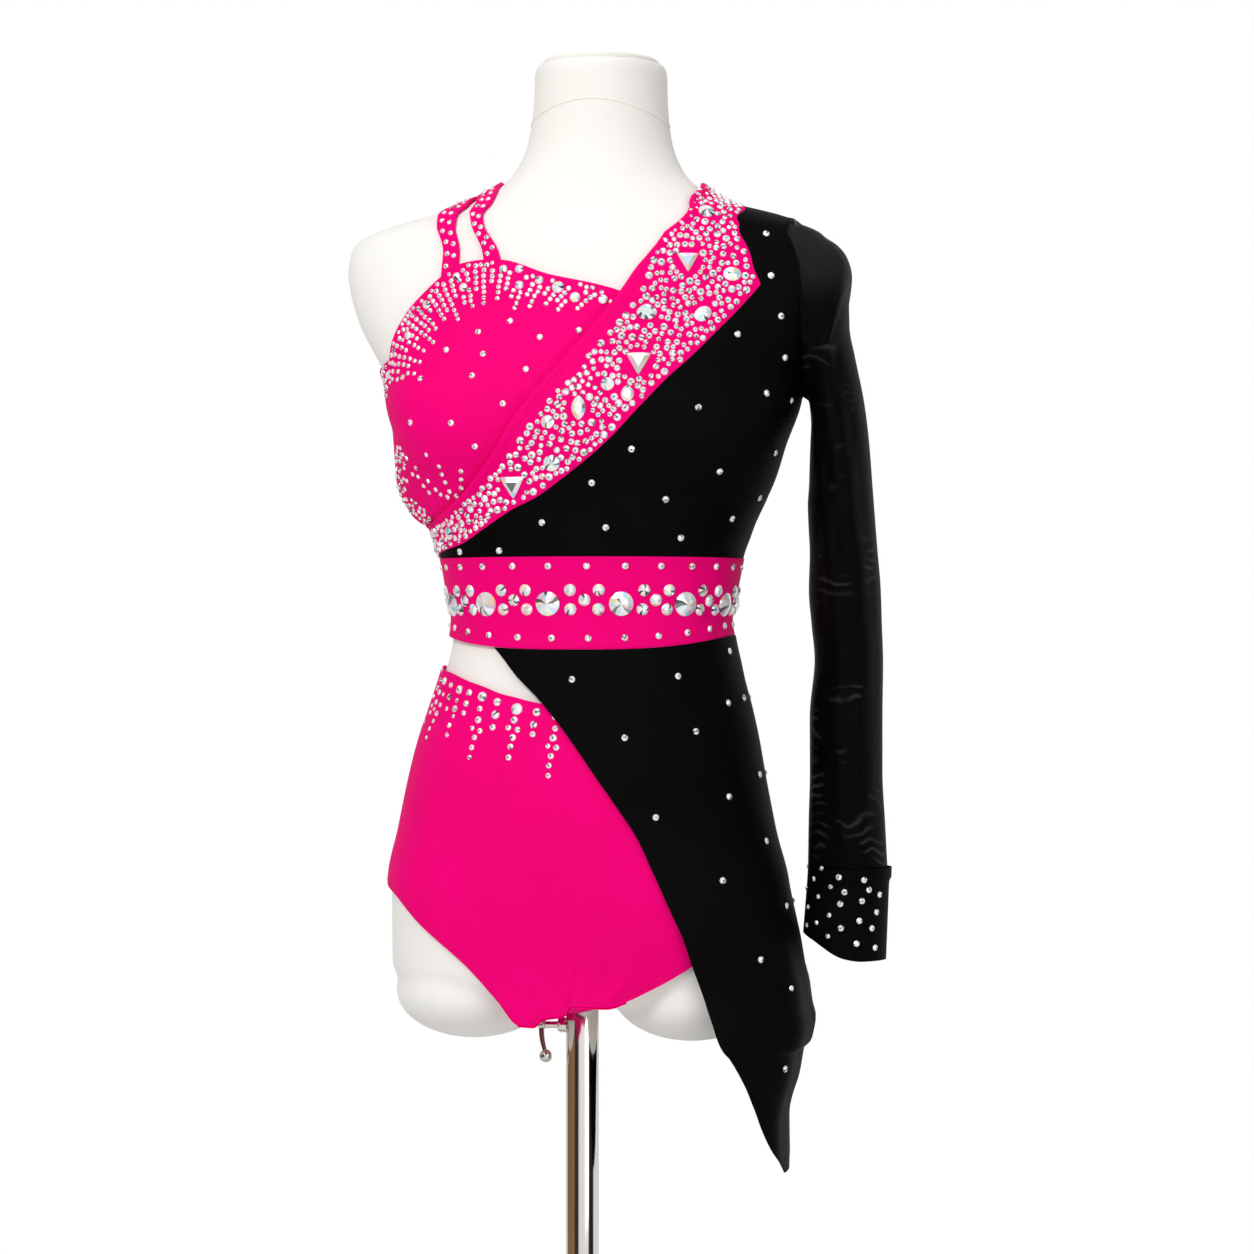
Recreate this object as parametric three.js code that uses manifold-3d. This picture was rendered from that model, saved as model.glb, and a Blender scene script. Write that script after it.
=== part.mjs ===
// A lyrical dance dress worn by a dress form on a pole stand.
// Millimetres, +Z up. The front faces -Y and +X is the wearer's left.
// The origin is the centre of the base's underside, on the pole's axis.

import * as THREE from 'three';
import Module from 'manifold-3d';
import { mergeVertices } from 'three/addons/utils/BufferGeometryUtils.js';

const wasm = await Module();
wasm.setup();

const DEG = Math.PI / 180;

// Cloth layers: distance from the form's skin to the wall's two faces.
const CLOTH_INNER = 2.4;
const CLOTH_OUTER = 3.8;
const SASH_OUTER = 4.4;
const BAND_INNER = 0.5;
const BAND_OUTER = 2.5;
const WAIST_SEAM_INNER = 1.2;
const OVERLAY_OUTER = 7;
const OVERLAY_WAIST_INNER = 3.6;
const WALL = CLOTH_OUTER - CLOTH_INNER;
const SEAM_GAP = 0.4;

// The longest step between two rows of a wall.
const MOST_TURN = 16 * DEG;
const MOST_RISE = 36;

// Heights on the body.
const WAISTBAND_TOP = 1093;
const WAISTBAND_BOTTOM_FRONT = 1018;
const WAISTBAND_BOTTOM_SIDE = 1029;
const SHOULDER_WIDEST = 1331;
const FORM_TOP = 1501;
const CAP_TOP = 1505;
const CROTCH = 724;
const LEG_LINE_AT_SIDE = 826;

// The outlines below were measured on the upright plane through the stand's axis,
// seen from 8 degrees round to the wearer's left.
const VIEW_YAW = 8 * DEG;
const VIEW_DISTANCE = 2900;
const EYE_HEIGHT = 1036;

// Angles run round the body from the wearer's right side, over the front, to the left side and the back.
const RIGHT_SIDE = 0;
const LEFT_SIDE = Math.PI;
const FULL_TURN = 2 * Math.PI;

// The form's level sections. Fullness squares off a section's corners.
const BODY_COLUMNS = ['z', 'halfWidth', 'front', 'back', 'centreX', 'fullness'];
const BODY_ROWS = [
  [560, 150, 82, 98, 0, 0.14],
  [690, 150, 82, 98, 0, 0.14],
  [722, 155.5, 86, 102, 0, 0.14],
  [745, 158.5, 88, 105, 0, 0.14],
  [793, 159, 97, 116, 0, 0.12],
  [825, 159, 102, 120, 0, 0.1],
  [870, 151, 104, 117, 1, 0.08],
  [911, 143.5, 103, 110, 2, 0.06],
  [942, 137, 100, 102, 3.5, 0.06],
  [967, 130, 96, 93, 5, 0.06],
  [994, 122, 92, 84, 6, 0.06],
  [1018, 116.5, 91, 79, 8, 0.06],
  [1043, 114, 91, 77, 8, 0.06],
  [1071, 119, 93, 78, 8, 0.06],
  [1093, 123, 96, 80, 8, 0.06],
  [1120, 131, 99, 84, 8.5, 0.06],
  [1141, 140, 101, 88, 9, 0.06],
  [1161, 148, 103, 92, 9.5, 0.06],
  [1186, 155, 105, 97, 10, 0.06],
  [1218, 167, 105, 101, 10, 0.05],
  [1240, 172, 103, 103, 10, 0.04],
  [1263, 184, 100, 104, 10, 0.02],
  [1287, 197, 95, 104, 10, 0],
  [1312, 205, 90, 102, 10, 0],
  [1331, 208, 85, 99, 10, 0],
  [1341, 206, 82, 97, 9, 0],
  [1358, 193, 76, 93, 4.5, 0],
  [1370, 163, 72, 88, 5, 0],
  [1382, 117, 68, 82, 8, 0],
  [1394, 92, 65, 76, 13, 0],
  [1405, 76, 63, 70, 14, 0],
  [1419, 66.5, 61, 64, 14.5, 0],
  [1436, 60, 60, 58, 15, 0],
  [1459, 56.5, 61, 52, 15.5, 0],
  [1485, 55, 63, 47, 16, 0],
  [1505, 55, 65, 45, 16, 0],
];

// The two cups: how far they stand out, where, and how fast they fade.
const CUP_HEIGHT = 1195;
const CUP_RISE = 22;
const CUP_ANGLES = [48 * DEG, 132 * DEG];
const CUP_SPREAD_ANGLE = 27 * DEG;
const CUP_SPREAD_UP = 56;
const CUP_SPREAD_DOWN = 40;

// The thigh stumps that round off the form's lower end.
const THIGH = { centreX: 91, centreY: 9, centreZ: 735, halfWidth: 66, halfDepth: 84, drop: 41 };

// Pole stand.
const POLE_OUTER_RADIUS = 13.7;
const POLE_BORE_RADIUS = 11.9;
const POLE_INNER_RADIUS = 11.3;
const SOCKET_RADIUS = 11.8;
const POLE_OUTER_TOP = 721.5;
const POLE_INNER_BOTTOM = 376;
const POLE_INNER_TOP = 990;
const CLAMP_HEIGHT = 705.5;
const BASE_RADIUS = 185;
const BASE_BORE_FLOOR = 10;
const BASE_SLOPE_RADIUS = 26;
const BASE_DISC_ROWS = [
  [BASE_RADIUS - 2, 0],
  [BASE_RADIUS, 2],
  [BASE_RADIUS, 9],
  [BASE_RADIUS - 5, 13],
  [BASE_SLOPE_RADIUS, 18],
];
const BASE_BOSS_ROWS = [
  [22, 12],
  [22, 44],
  [19.5, 47],
];
const SEAT_CLEARANCE = 0.3;

// The clamp on the outer tube: a boss, and a lever whose parts lie along the shaft's axis.
const BOSS = { radius: 5.6, length: 7.6, x: -16.4 };
const LEVER_SHAFT = { radius: 2.8, length: 12, x: -26.5 };
const LEVER_HUB = { radius: 3.2, length: 6, x: -34.5 };
const LEVER_ARM = { radius: 2.4, endRadius: 2, length: 24, x: -33, drop: 12, lean: -11 * DEG };
const LEVER_BALL = { radius: 5.4, x: -30.6, drop: 26 };

// The sash, from the shoulder seam to the side seam: its two edges, seen from the front.
const SASH_COLUMNS = ['innerU', 'innerV', 'outerU', 'outerV'];
const SASH_ROWS = [
  [81, 1379, 129, 1372],
  [65, 1356, 135, 1355],
  [48, 1336, 142, 1338],
  [33, 1315, 149, 1320],
  [8, 1284, 118, 1286],
  [-17, 1256, 90, 1258],
  [-35, 1236, 69, 1239],
  [-52, 1216, 48, 1218],
  [-64, 1198, 26, 1195],
  [-76, 1179, -8, 1166],
  [-86, 1166, -38, 1144],
  [-95, 1153, -56, 1135],
  [-108, 1139, -80, 1119],
  [-121, 1128, -101, 1105],
];
const SASH_CREST = { innerX: 95, outerX: 120 };
const SASH_END = { innerZ: 1121, outerZ: 1094 };
const SASH_POINT_ROW = 4;

// The left armhole, from the shoulder seam down the front to the armpit.
const ARMHOLE_COLUMNS = ['z', 'angle'];
const ARMHOLE_ROWS = [
  [1369, 180],
  [1365, 160],
  [1355, 148],
  [1339, 145],
  [1320, 146.5],
  [1297, 150.5],
  [1275, 158],
  [1256, 167],
  [1240, 174],
  [1230, 178.5],
  [1226, 180],
];

// The left side seam of the bodice, below the armpit.
const BODICE_SIDE_HEIGHTS = [1200, 1174, 1147, 1120, 1094];

// The pink top's armhole edge and right side seam, one row beside each sash row below the point.
const TOP_ARMHOLE_ROWS = [
  [-117, 1326],
  [-132, 1312],
  [-143, 1300],
  [-152, 1286],
  [-158, 1272],
  [-160, 1258],
];
const TOP_SIDE_HEIGHTS = [1240, 1218, 1194, 1165, 1140, 1123];
const TOP_FULLNESS_ROWS = [[1123, 5], [1135, 11], [1153, 13], [1171, 9.3], [1184, 5.8], [1200, 0]];
const TOP_FULLNESS_FROM = 10 * DEG;
const TOP_FULLNESS_TO = 46 * DEG;

// The top edge of the pink cup, from the armhole to the sash's point.
const TOP_EDGE_ROWS = [
  [-117, 1326],
  [-103, 1336],
  [-81, 1340],
  [-67, 1340],
  [-26, 1328],
  [9, 1321],
  [33, 1315],
];

// Both straps, from the top edge to the crest: left and right edges, seen from the front.
const OUTER_STRAP_ROWS = [
  [-117, 1328, -103, 1337],
  [-115, 1342, -101, 1350],
  [-111, 1358, -98, 1364],
  [-108, 1371, -93, 1377],
];
const OUTER_STRAP_CREST = { leftX: -105, rightX: -84.6 };
const INNER_STRAP_ROWS = [
  [-81, 1342, -67, 1342],
  [-82, 1356, -69, 1358],
  [-83, 1370, -71, 1374],
  [-83.5, 1381, -70, 1389],
];
const INNER_STRAP_CREST = { leftX: -84.2, rightX: -64 };
const STRAP_CREST_SHARES = [0.3, 0.6, 0.8, 1];

// The brief, column by column from the wearer's right side: top and leg edges, seen from the front.
const BRIEF_FRONT_ROWS = [
  [-109, 997, -157, 816],
  [-96, 991, -132, 787],
  [-82, 986, -97, 756],
  [-67, 980, -72, 728],
  [-55, 977, -53, 706],
  [-44, 974, -40, 705],
  [-32, 972, -31, 711],
  [-16, 978, -14, 714],
  [2, 990, -7, 721],
  [20, 1004, 21, 720],
  [38, 1013, 38, 725],
  [56, 1017, 61, 736],
  [80, 1018, 93, 755],
  [105, 1022, 126, 784],
];
const BRIEF_TOP_AT_RIGHT_SIDE = 1003;
const BRIEF_GUSSET_FIRST = 5;
const BRIEF_GUSSET_LAST = 11;

// The same on the back, seen from behind: level distance from the axis, and height.
const BRIEF_BACK_ROWS = [
  [-106, 999, -152, 808],
  [-92, 999, -126, 778],
  [-74, 1002, -98, 752],
  [-54, 1008, -72, 732],
  [-32, 1014, -46, 718],
  [-12, 1017, -28, 714],
  [8, 1017.5, -8, 714],
  [28, 1017.5, 14, 714],
  [50, 1017.5, 38, 717],
  [72, 1018, 66, 730],
  [92, 1020, 98, 752],
  [108, 1023.5, 130, 782],
];
const BRIEF_BACK_GUSSET_FIRST = 4;
const BRIEF_BACK_GUSSET_LAST = 10;

// The gusset's strip between the thighs: it passes the pole on the wearer's right.
const GUSSET_COLUMNS = ['y', 'leftX', 'rightX', 'drop'];
const GUSSET_ROWS = [
  [-66, -47, 24, 3],
  [-46, -42, -2, 3],
  [-24, -35, -16.5, 2.4],
  [0, -33, -16, 2.4],
  [24, -35, -16.5, 2.4],
  [48, -40, 2, 3],
  [76, -44, 26, 3],
];

// The overlay's free front edge, from the waist to its point, seen from the front.
const OVERLAY_EDGE_ROWS = [
  [-73, 1017],
  [-60, 1001],
  [-47, 987],
  [-33, 972],
  [-11, 944],
  [10, 914],
  [29, 887],
  [48, 858],
  [60, 832],
  [72, 806],
  [85, 778],
  [93, 755],
  [104, 724],
  [115, 694],
  [130, 667],
  [145, 634],
  [160, 599],
  [169, 583],
];

// How far the overlay stands off at the left side, by height.
const OVERLAY_FLARE_COLUMNS = ['z', 'side', 'front'];
const OVERLAY_FLARE_ROWS = [
  [570, 22, 22],
  [631, 21, 16],
  [648, 24, 15],
  [667, 30, 14],
  [693, 34.8, 13],
  [706, 39, 12],
  [716, 39, 11],
  [731, 34, 10],
  [787, 21, 8],
  [827, 12.5, 7],
  [859, 9, OVERLAY_OUTER],
  [919, 7.2, OVERLAY_OUTER],
  [955, OVERLAY_OUTER, OVERLAY_OUTER],
  [1100, OVERLAY_OUTER, OVERLAY_OUTER],
];
const OVERLAY_FOLD = { angle: 157 * DEG, width: 9 * DEG, height: 6, top: 840, full: 700 };

// The sleeve's rings: the outer and the inner point of each, seen from the front, and half its depth.
const SLEEVE_COLUMNS = ['outerU', 'outerV', 'innerU', 'innerV', 'halfDepth'];
const SLEEVE_ROWS = [
  [182, 1366, 186.5, 1222, 53],
  [192, 1360.5, 187.5, 1219, 53],
  [202, 1355, 188, 1216, 52],
  [210, 1349.5, 188.4, 1212, 51],
  [217.5, 1340, 188.8, 1206, 50],
  [221.5, 1325, 189, 1198, 49],
  [219, 1305, 188.5, 1188, 47],
  [219.5, 1283, 188, 1177, 46],
  [224.5, 1256, 187.5, 1164, 46],
  [231.5, 1221, 187, 1150, 46],
  [235.5, 1189, 186, 1136, 46],
  [238.5, 1150, 186.6, 1118, 46],
  [242, 1104, 187.6, 1096, 45],
  [245, 1068, 186.8, 1066, 44],
  [246, 1038, 189, 1038, 43],
  [247, 1005, 191.5, 1008, 42],
  [246.5, 962, 187.5, 962, 41],
  [246.5, 917, 187.6, 917, 39],
  [248.5, 878, 186.6, 878, 37],
  [250.5, 840, 186, 840, 35],
];
const SLEEVE_SEGMENTS = 20;
const SLEEVE_FOLD_HEIGHT = 2.4;
const SLEEVE_FOLDS = 3;
const SLEEVE_FIRST_FOLDED_RING = 5;

// The cuff's rings hang from the sleeve to a slanted hem.
const CUFF_TOP = 839.4;
const CUFF_SEAM = 829;
const CUFF_ROWS = 4;
const CUFF = { topInnerU: 186, topOuterU: 252.5, hemInnerU: 182, hemOuterU: 249.5, halfDepth: 35 };
const CUFF_HEM_COLUMNS = ['u', 'v'];
const CUFF_HEM_ROWS = [
  [180, 787],
  [191, 781],
  [219, 766],
  [232, 764],
  [253, 764],
];

// Large stones on the sash: place seen from the front, half width, half height and number of sides.
const SASH_STONE_COLUMNS = ['u', 'v', 'halfWidth', 'halfHeight', 'sides'];
const SASH_STONES = [
  [104, 1378, 6.6, 6.6, 8],
  [89, 1339, 10, 10, 3],
  [125, 1328, 7.5, 6, 8],
  [55, 1297, 8, 6.6, 8],
  [101, 1295, 7.5, 6, 8],
  [48, 1255, 11.5, 11.5, 3],
  [22, 1237, 5.4, 5.4, 8],
  [39, 1229, 5, 7, 6],
  [-2, 1218, 5.5, 9.5, 6],
  [-27, 1206, 5.4, 5.4, 8],
  [-24, 1173, 6.6, 6.6, 8],
  [-56, 1155, 11.5, 11.5, 3],
  [-104, 1120, 5.4, 5.4, 8],
];
const SASH_STONE_HEIGHT = 3.4;

// Large round crystals round the waistband.
const BAND_STONE_COUNT = 13;
const BAND_STONE_PHASE = 24.5 * DEG;
const BAND_STONE_RADIUS = 10;
const BAND_STONE_HEIGHT = 4.6;
const BAND_STONE_Z = 1055;

// Finishes.
const PINK = { color: 0xfa007d, roughness: 0.62, metalness: 0 };
const BLACK = { color: 0x09090b, roughness: 0.7, metalness: 0 };
const MESH_BLACK = { color: 0x121214, roughness: 0.8, metalness: 0 };
const COVER = { color: 0xf3f0ec, roughness: 0.85, metalness: 0 };
const CHROME = { color: 0xd6d3cf, roughness: 0.12, metalness: 1 };
const BASE_METAL = { color: 0xb9b8b6, roughness: 0.35, metalness: 1 };

const model = new THREE.Group();

function clamp(value, low, high) {
  return Math.min(high, Math.max(low, value));
}

function mix(from, to, share) {
  return from + (to - from) * share;
}

function smoothStep(edge, full, value) {
  const share = clamp((value - edge) / (full - edge), 0, 1);
  return share * share * (3 - 2 * share);
}

// A smooth curve through its knots that never overshoots them.
function smoothCurve(knots, values) {
  const last = knots.length - 1;
  const secants = [];
  for (let i = 0; i < last; i += 1) {
    secants.push((values[i + 1] - values[i]) / (knots[i + 1] - knots[i]));
  }
  const slopes = values.map((value, i) => {
    const before = secants[Math.max(i - 1, 0)];
    const after = secants[Math.min(i, last - 1)];
    return before * after <= 0 ? 0 : (2 * before * after) / (before + after);
  });
  return (at) => {
    const x = clamp(at, knots[0], knots[last]);
    let i = 0;
    while (i < last - 1 && x > knots[i + 1]) {
      i += 1;
    }
    const width = knots[i + 1] - knots[i];
    const t = (x - knots[i]) / width;
    const leave = t * t * t - 2 * t * t + t;
    const arrive = t * t * t - t * t;
    const cross = 3 * t * t - 2 * t * t * t;
    return mix(values[i], values[i + 1], cross) + width * (slopes[i] * leave + slopes[i + 1] * arrive);
  };
}

// One smooth curve for each named column of a table, over its first column.
function curvesOf(columns, rows) {
  const knots = rows.map((row) => row[0]);
  const curves = {};
  columns.slice(1).forEach((name, k) => {
    curves[name] = smoothCurve(knots, rows.map((row) => row[k + 1]));
  });
  return curves;
}

// The rows of a table as records with its column names.
function records(columns, rows) {
  return rows.map((row) => Object.fromEntries(columns.map((name, k) => [name, row[k]])));
}

const BODY = curvesOf(BODY_COLUMNS, BODY_ROWS);

function cupRise(angle, z) {
  const turn = ((angle % FULL_TURN) + FULL_TURN) % FULL_TURN;
  const spread = z > CUP_HEIGHT ? CUP_SPREAD_UP : CUP_SPREAD_DOWN;
  const rise = CUP_RISE * Math.exp(-(((z - CUP_HEIGHT) / spread) ** 2));
  let total = 0;
  for (const cup of CUP_ANGLES) {
    total += rise * Math.exp(-(((turn - cup) / CUP_SPREAD_ANGLE) ** 2));
  }
  return total;
}

function skinPoint(angle, z) {
  const across = Math.cos(angle);
  const along = Math.sin(angle);
  const depth = along > 0 ? BODY.front(z) : BODY.back(z);
  const fullness = BODY.fullness(z);
  const rise = cupRise(angle, z);
  const x = across * (BODY.halfWidth(z) * (1 + fullness * along * along) + rise);
  const y = along * (depth * (1 + fullness * across * across) + rise);
  return new THREE.Vector3(BODY.centreX(z) - x, -y, z);
}

// The point a given lift outside the skin, along the skin's normal.
function bodyPoint(angle, z, lift) {
  const turn = 0.01;
  const around = skinPoint(angle + turn, z).sub(skinPoint(angle - turn, z));
  const upward = skinPoint(angle, z + 1).sub(skinPoint(angle, z - 1));
  const normal = around.cross(upward).normalize();
  return skinPoint(angle, z).addScaledVector(normal, lift);
}

// Distance from a point near the skin to it, negative inside.
function skinDistance(point) {
  const x = BODY.centreX(point.z) - point.x;
  const depth = point.y < 0 ? BODY.front(point.z) : BODY.back(point.z);
  const angle = Math.atan2(-point.y / depth, x / BODY.halfWidth(point.z));
  const skin = skinPoint(angle, point.z);
  const normal = bodyPoint(angle, point.z, 1).sub(skin);
  return point.clone().sub(skin).dot(normal);
}

// Where a point is seen on the measuring plane.
function seenAt(point) {
  const depth = VIEW_DISTANCE - point.x * Math.sin(VIEW_YAW) + point.y * Math.cos(VIEW_YAW);
  const scale = VIEW_DISTANCE / depth;
  return {
    u: (point.x * Math.cos(VIEW_YAW) + point.y * Math.sin(VIEW_YAW)) * scale,
    v: EYE_HEIGHT + (point.z - EYE_HEIGHT) * scale,
    scale,
  };
}

// The angle at which a level section is seen at u, between the right outline and the left side.
function angleSeenAt(u, z, liftAt) {
  const step = 3 * DEG;
  const seen = (angle) => seenAt(bodyPoint(angle, z, liftAt(angle, z))).u;
  let high = LEFT_SIDE;
  if (seen(high) < u) {
    return high;
  }
  while (high > step && seen(high - step) >= u) {
    high -= step;
  }
  let low = Math.max(high - step, RIGHT_SIDE);
  for (let pass = 0; pass < 20; pass += 1) {
    const middle = (low + high) / 2;
    if (seen(middle) < u) {
      low = middle;
    } else {
      high = middle;
    }
  }
  return high;
}

// The station on the front where the measured point lies.
function frontStation(u, v, liftAt = () => CLOTH_OUTER) {
  let z = v;
  let angle = Math.PI / 2;
  for (let pass = 0; pass < 4; pass += 1) {
    angle = angleSeenAt(u, z, liftAt);
    const { scale } = seenAt(bodyPoint(angle, z, liftAt(angle, z)));
    z = EYE_HEIGHT + (v - EYE_HEIGHT) / scale;
  }
  return { angle, z };
}

// The station on the back at a level distance x from the axis.
function backStation(x, z) {
  let low = LEFT_SIDE;
  let high = FULL_TURN;
  for (let pass = 0; pass < 24; pass += 1) {
    const middle = (low + high) / 2;
    if (skinPoint(middle, z).x > x) {
      low = middle;
    } else {
      high = middle;
    }
  }
  return { angle: low, z };
}

// The station on a shoulder straight above a level point in front of its crest.
function shoulderStation(x, y) {
  const across = (z) => (BODY.centreX(z) - x) / BODY.halfWidth(z);
  const along = (z) => Math.abs(y) / BODY.front(z);
  let low = SHOULDER_WIDEST;
  let high = FORM_TOP;
  for (let pass = 0; pass < 24; pass += 1) {
    const middle = (low + high) / 2;
    if (Math.hypot(across(middle), along(middle)) < 1) {
      low = middle;
    } else {
      high = middle;
    }
  }
  return { angle: Math.atan2(along(low), across(low)), z: low };
}

function crestStation(x) {
  return shoulderStation(x, 0);
}

function sideStation(angle, z) {
  return { angle, z };
}

function toBack(station) {
  return { angle: FULL_TURN - station.angle, z: station.z };
}

function between(from, to, share) {
  return { angle: mix(from.angle, to.angle, share), z: mix(from.z, to.z, share) };
}

// How many steps each stretch needs, so that no line of stations turns or rises too far in one.
function stepCounts(lines) {
  return lines[0].slice(1).map((_, i) => Math.max(...lines.map((line) => {
    const turnSteps = Math.abs(line[i + 1].angle - line[i].angle) / MOST_TURN;
    const riseSteps = Math.abs(line[i + 1].z - line[i].z) / MOST_RISE;
    return Math.ceil(Math.max(turnSteps, riseSteps, 1));
  })));
}

// A line of stations with each stretch cut into its count of steps.
function stepped(line, counts) {
  return counts.reduce((stations, count, i) => {
    const steps = Array.from({ length: count }, (_, k) => between(line[i], line[i + 1], (k + 1) / count));
    return [...stations, ...steps];
  }, [line[0]]);
}

// Rows of stations from the left seam to the right one. A shaped first row fades out down the piece.
function rowsBetween(left, right, columns, firstRow) {
  return left.map((start, i) => {
    const row = [];
    const fade = 1 - i / (left.length - 1);
    for (let j = 0; j <= columns; j += 1) {
      const station = between(start, right[i], j / columns);
      if (firstRow) {
        const straight = between(left[0], right[0], j / columns);
        station.angle += (firstRow[j].angle - straight.angle) * fade * fade;
        station.z += (firstRow[j].z - straight.z) * fade * fade;
      }
      row.push(station);
    }
    return row;
  });
}

// Moves one border station towards its neighbour by half the seam gap.
function pulledIn(border, neighbour) {
  const length = bodyPoint(border.angle, border.z, CLOTH_INNER)
    .distanceTo(bodyPoint(neighbour.angle, neighbour.z, CLOTH_INNER));
  return between(border, neighbour, Math.min(SEAM_GAP / 2 / Math.max(length, 0.01), 0.4));
}

// Leaves half the seam gap open all round a piece.
function withOpenSeams(rows) {
  const narrowed = rows.map((row) => {
    const last = row.length - 1;
    return row.map((station, j) => {
      if (j === 0) {
        return pulledIn(station, row[1]);
      }
      return j === last ? pulledIn(station, row[last - 1]) : station;
    });
  });
  const bottom = narrowed.length - 1;
  return narrowed.map((row, i) => row.map((station, j) => {
    if (i === 0) {
      return pulledIn(station, narrowed[1][j]);
    }
    return i === bottom ? pulledIn(station, narrowed[bottom - 1][j]) : station;
  }));
}

// A geometry from points and triangles, with its faces turned outwards.
function closedGeometry(points, triangles) {
  let volume = 0;
  for (const [a, b, c] of triangles) {
    volume += points[a].dot(points[b].clone().cross(points[c]));
  }
  const index = triangles.flatMap(([a, b, c]) => (volume > 0 ? [a, b, c] : [a, c, b]));
  const geometry = new THREE.BufferGeometry().setFromPoints(points);
  geometry.setIndex(index);
  geometry.computeVertexNormals();
  return geometry;
}

// A closed wall between two grids of points. A wrapped wall joins each row's end to its start.
function wallGeometry(inner, outer, wrapped) {
  const rows = outer.length;
  const columns = outer[0].length;
  const points = [...outer.flat(), ...inner.flat()];
  const outerAt = (i, j) => i * columns + (j % columns);
  const innerAt = (i, j) => rows * columns + outerAt(i, j);
  const triangles = [];
  const quad = (a, b, c, d) => triangles.push([a, b, c], [a, c, d]);
  const steps = wrapped ? columns : columns - 1;
  for (let i = 0; i < rows - 1; i += 1) {
    for (let j = 0; j < steps; j += 1) {
      quad(outerAt(i, j), outerAt(i, j + 1), outerAt(i + 1, j + 1), outerAt(i + 1, j));
      quad(innerAt(i, j), innerAt(i + 1, j), innerAt(i + 1, j + 1), innerAt(i, j + 1));
    }
    if (!wrapped) {
      quad(outerAt(i, 0), outerAt(i + 1, 0), innerAt(i + 1, 0), innerAt(i, 0));
      quad(outerAt(i, steps), innerAt(i, steps), innerAt(i + 1, steps), outerAt(i + 1, steps));
    }
  }
  for (let j = 0; j < steps; j += 1) {
    quad(outerAt(0, j), innerAt(0, j), innerAt(0, j + 1), outerAt(0, j + 1));
    quad(outerAt(rows - 1, j), outerAt(rows - 1, j + 1), innerAt(rows - 1, j + 1), innerAt(rows - 1, j));
  }
  return closedGeometry(points, triangles);
}

// A cloth wall over a grid of stations, between two lifts that may vary over it.
function clothWall(rows, innerAt, outerAt) {
  const lifted = (liftAt) => rows.map((row) => row.map(({ angle, z }) => bodyPoint(angle, z, liftAt(angle, z))));
  return wallGeometry(lifted(innerAt), lifted(outerAt), false);
}

// A solid through a stack of rings, closed by a flat fan at each end.
function stackedRings(rings) {
  const count = rings[0].length;
  const points = rings.flat();
  const triangles = [];
  for (let i = 0; i < rings.length - 1; i += 1) {
    for (let j = 0; j < count; j += 1) {
      const next = (j + 1) % count;
      const a = i * count + j;
      const b = i * count + next;
      triangles.push([a, b, b + count], [a, b + count, a + count]);
    }
  }
  [0, rings.length - 1].forEach((i) => {
    const middle = rings[i].reduce((sum, point) => sum.add(point), new THREE.Vector3()).divideScalar(count);
    const centre = points.push(middle) - 1;
    for (let j = 0; j < count; j += 1) {
      const a = i * count + j;
      const b = i * count + ((j + 1) % count);
      triangles.push(i === 0 ? [centre, b, a] : [centre, a, b]);
    }
  });
  return closedGeometry(points, triangles);
}

function circle(radius, z, count) {
  return Array.from({ length: count }, (_, j) => {
    const turn = (j / count) * FULL_TURN;
    return new THREE.Vector3(radius * Math.cos(turn), radius * Math.sin(turn), z);
  });
}

// A body of revolution about the pole's axis, from rows of radius and height.
function turned(profile, count) {
  return stackedRings(profile.map(([radius, z]) => circle(radius, z, count)));
}

function tube(innerRadius, outerRadius, bottom, top, count) {
  const ends = [bottom, top];
  const inner = ends.map((z) => circle(innerRadius, z, count));
  const outer = ends.map((z) => circle(outerRadius, z, count));
  return wallGeometry(inner, outer, true);
}

function toManifold(geometry) {
  const plain = geometry.clone();
  plain.deleteAttribute('normal');
  plain.deleteAttribute('uv');
  const merged = mergeVertices(plain, 1e-4);
  return new wasm.Manifold(new wasm.Mesh({
    numProp: 3,
    vertProperties: new Float32Array(merged.getAttribute('position').array),
    triVerts: new Uint32Array(merged.index.array),
  }));
}

function fromManifold(solid) {
  const mesh = solid.getMesh();
  const geometry = new THREE.BufferGeometry();
  geometry.setAttribute('position', new THREE.BufferAttribute(new Float32Array(mesh.vertProperties), 3));
  geometry.setIndex(new THREE.BufferAttribute(new Uint32Array(mesh.triVerts), 1));
  geometry.computeVertexNormals();
  return geometry;
}

function fused(first, others) {
  return fromManifold(others.reduce((whole, other) => whole.add(toManifold(other)), toManifold(first)));
}

function addMesh(name, geometry, finish) {
  const mesh = new THREE.Mesh(geometry, new THREE.MeshStandardMaterial(finish));
  mesh.name = name;
  model.add(mesh);
}

const even = (lift) => () => lift;

// Dress form

const FORM_SEGMENTS = 32;
const FORM_BOTTOM_STEPS = [[CROTCH, 0.5], [727, 0.66], [731.5, 0.79], [737.5, 0.9], [746, 0.975]];
const FORM_HEIGHTS = [
  757, 778, 800, 825, 850, 875, 900, 925, 950, 972, 994, 1018, 1043, 1071, 1093, 1120, 1141, 1161, 1180,
  1199, 1218, 1240, 1263, 1287, 1310, 1329, 1343, 1354, 1362, 1369, 1376, 1383, 1394, 1406, 1420, 1438, 1465,
];
const NECK_EDGE_STEPS = [[1495, 1], [1499.5, 0.97], [FORM_TOP, 0.9]];
const CAP_STEPS = [[FORM_TOP + 0.3, 0.82], [CAP_TOP - 1.2, 0.82], [CAP_TOP, 0.78]];

function skinRing(z, scale = 1) {
  const centre = new THREE.Vector3(BODY.centreX(z), 0, z);
  return Array.from({ length: FORM_SEGMENTS }, (_, j) => {
    const point = skinPoint((j / FORM_SEGMENTS) * FULL_TURN, z);
    return centre.clone().lerp(point, scale);
  });
}

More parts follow.
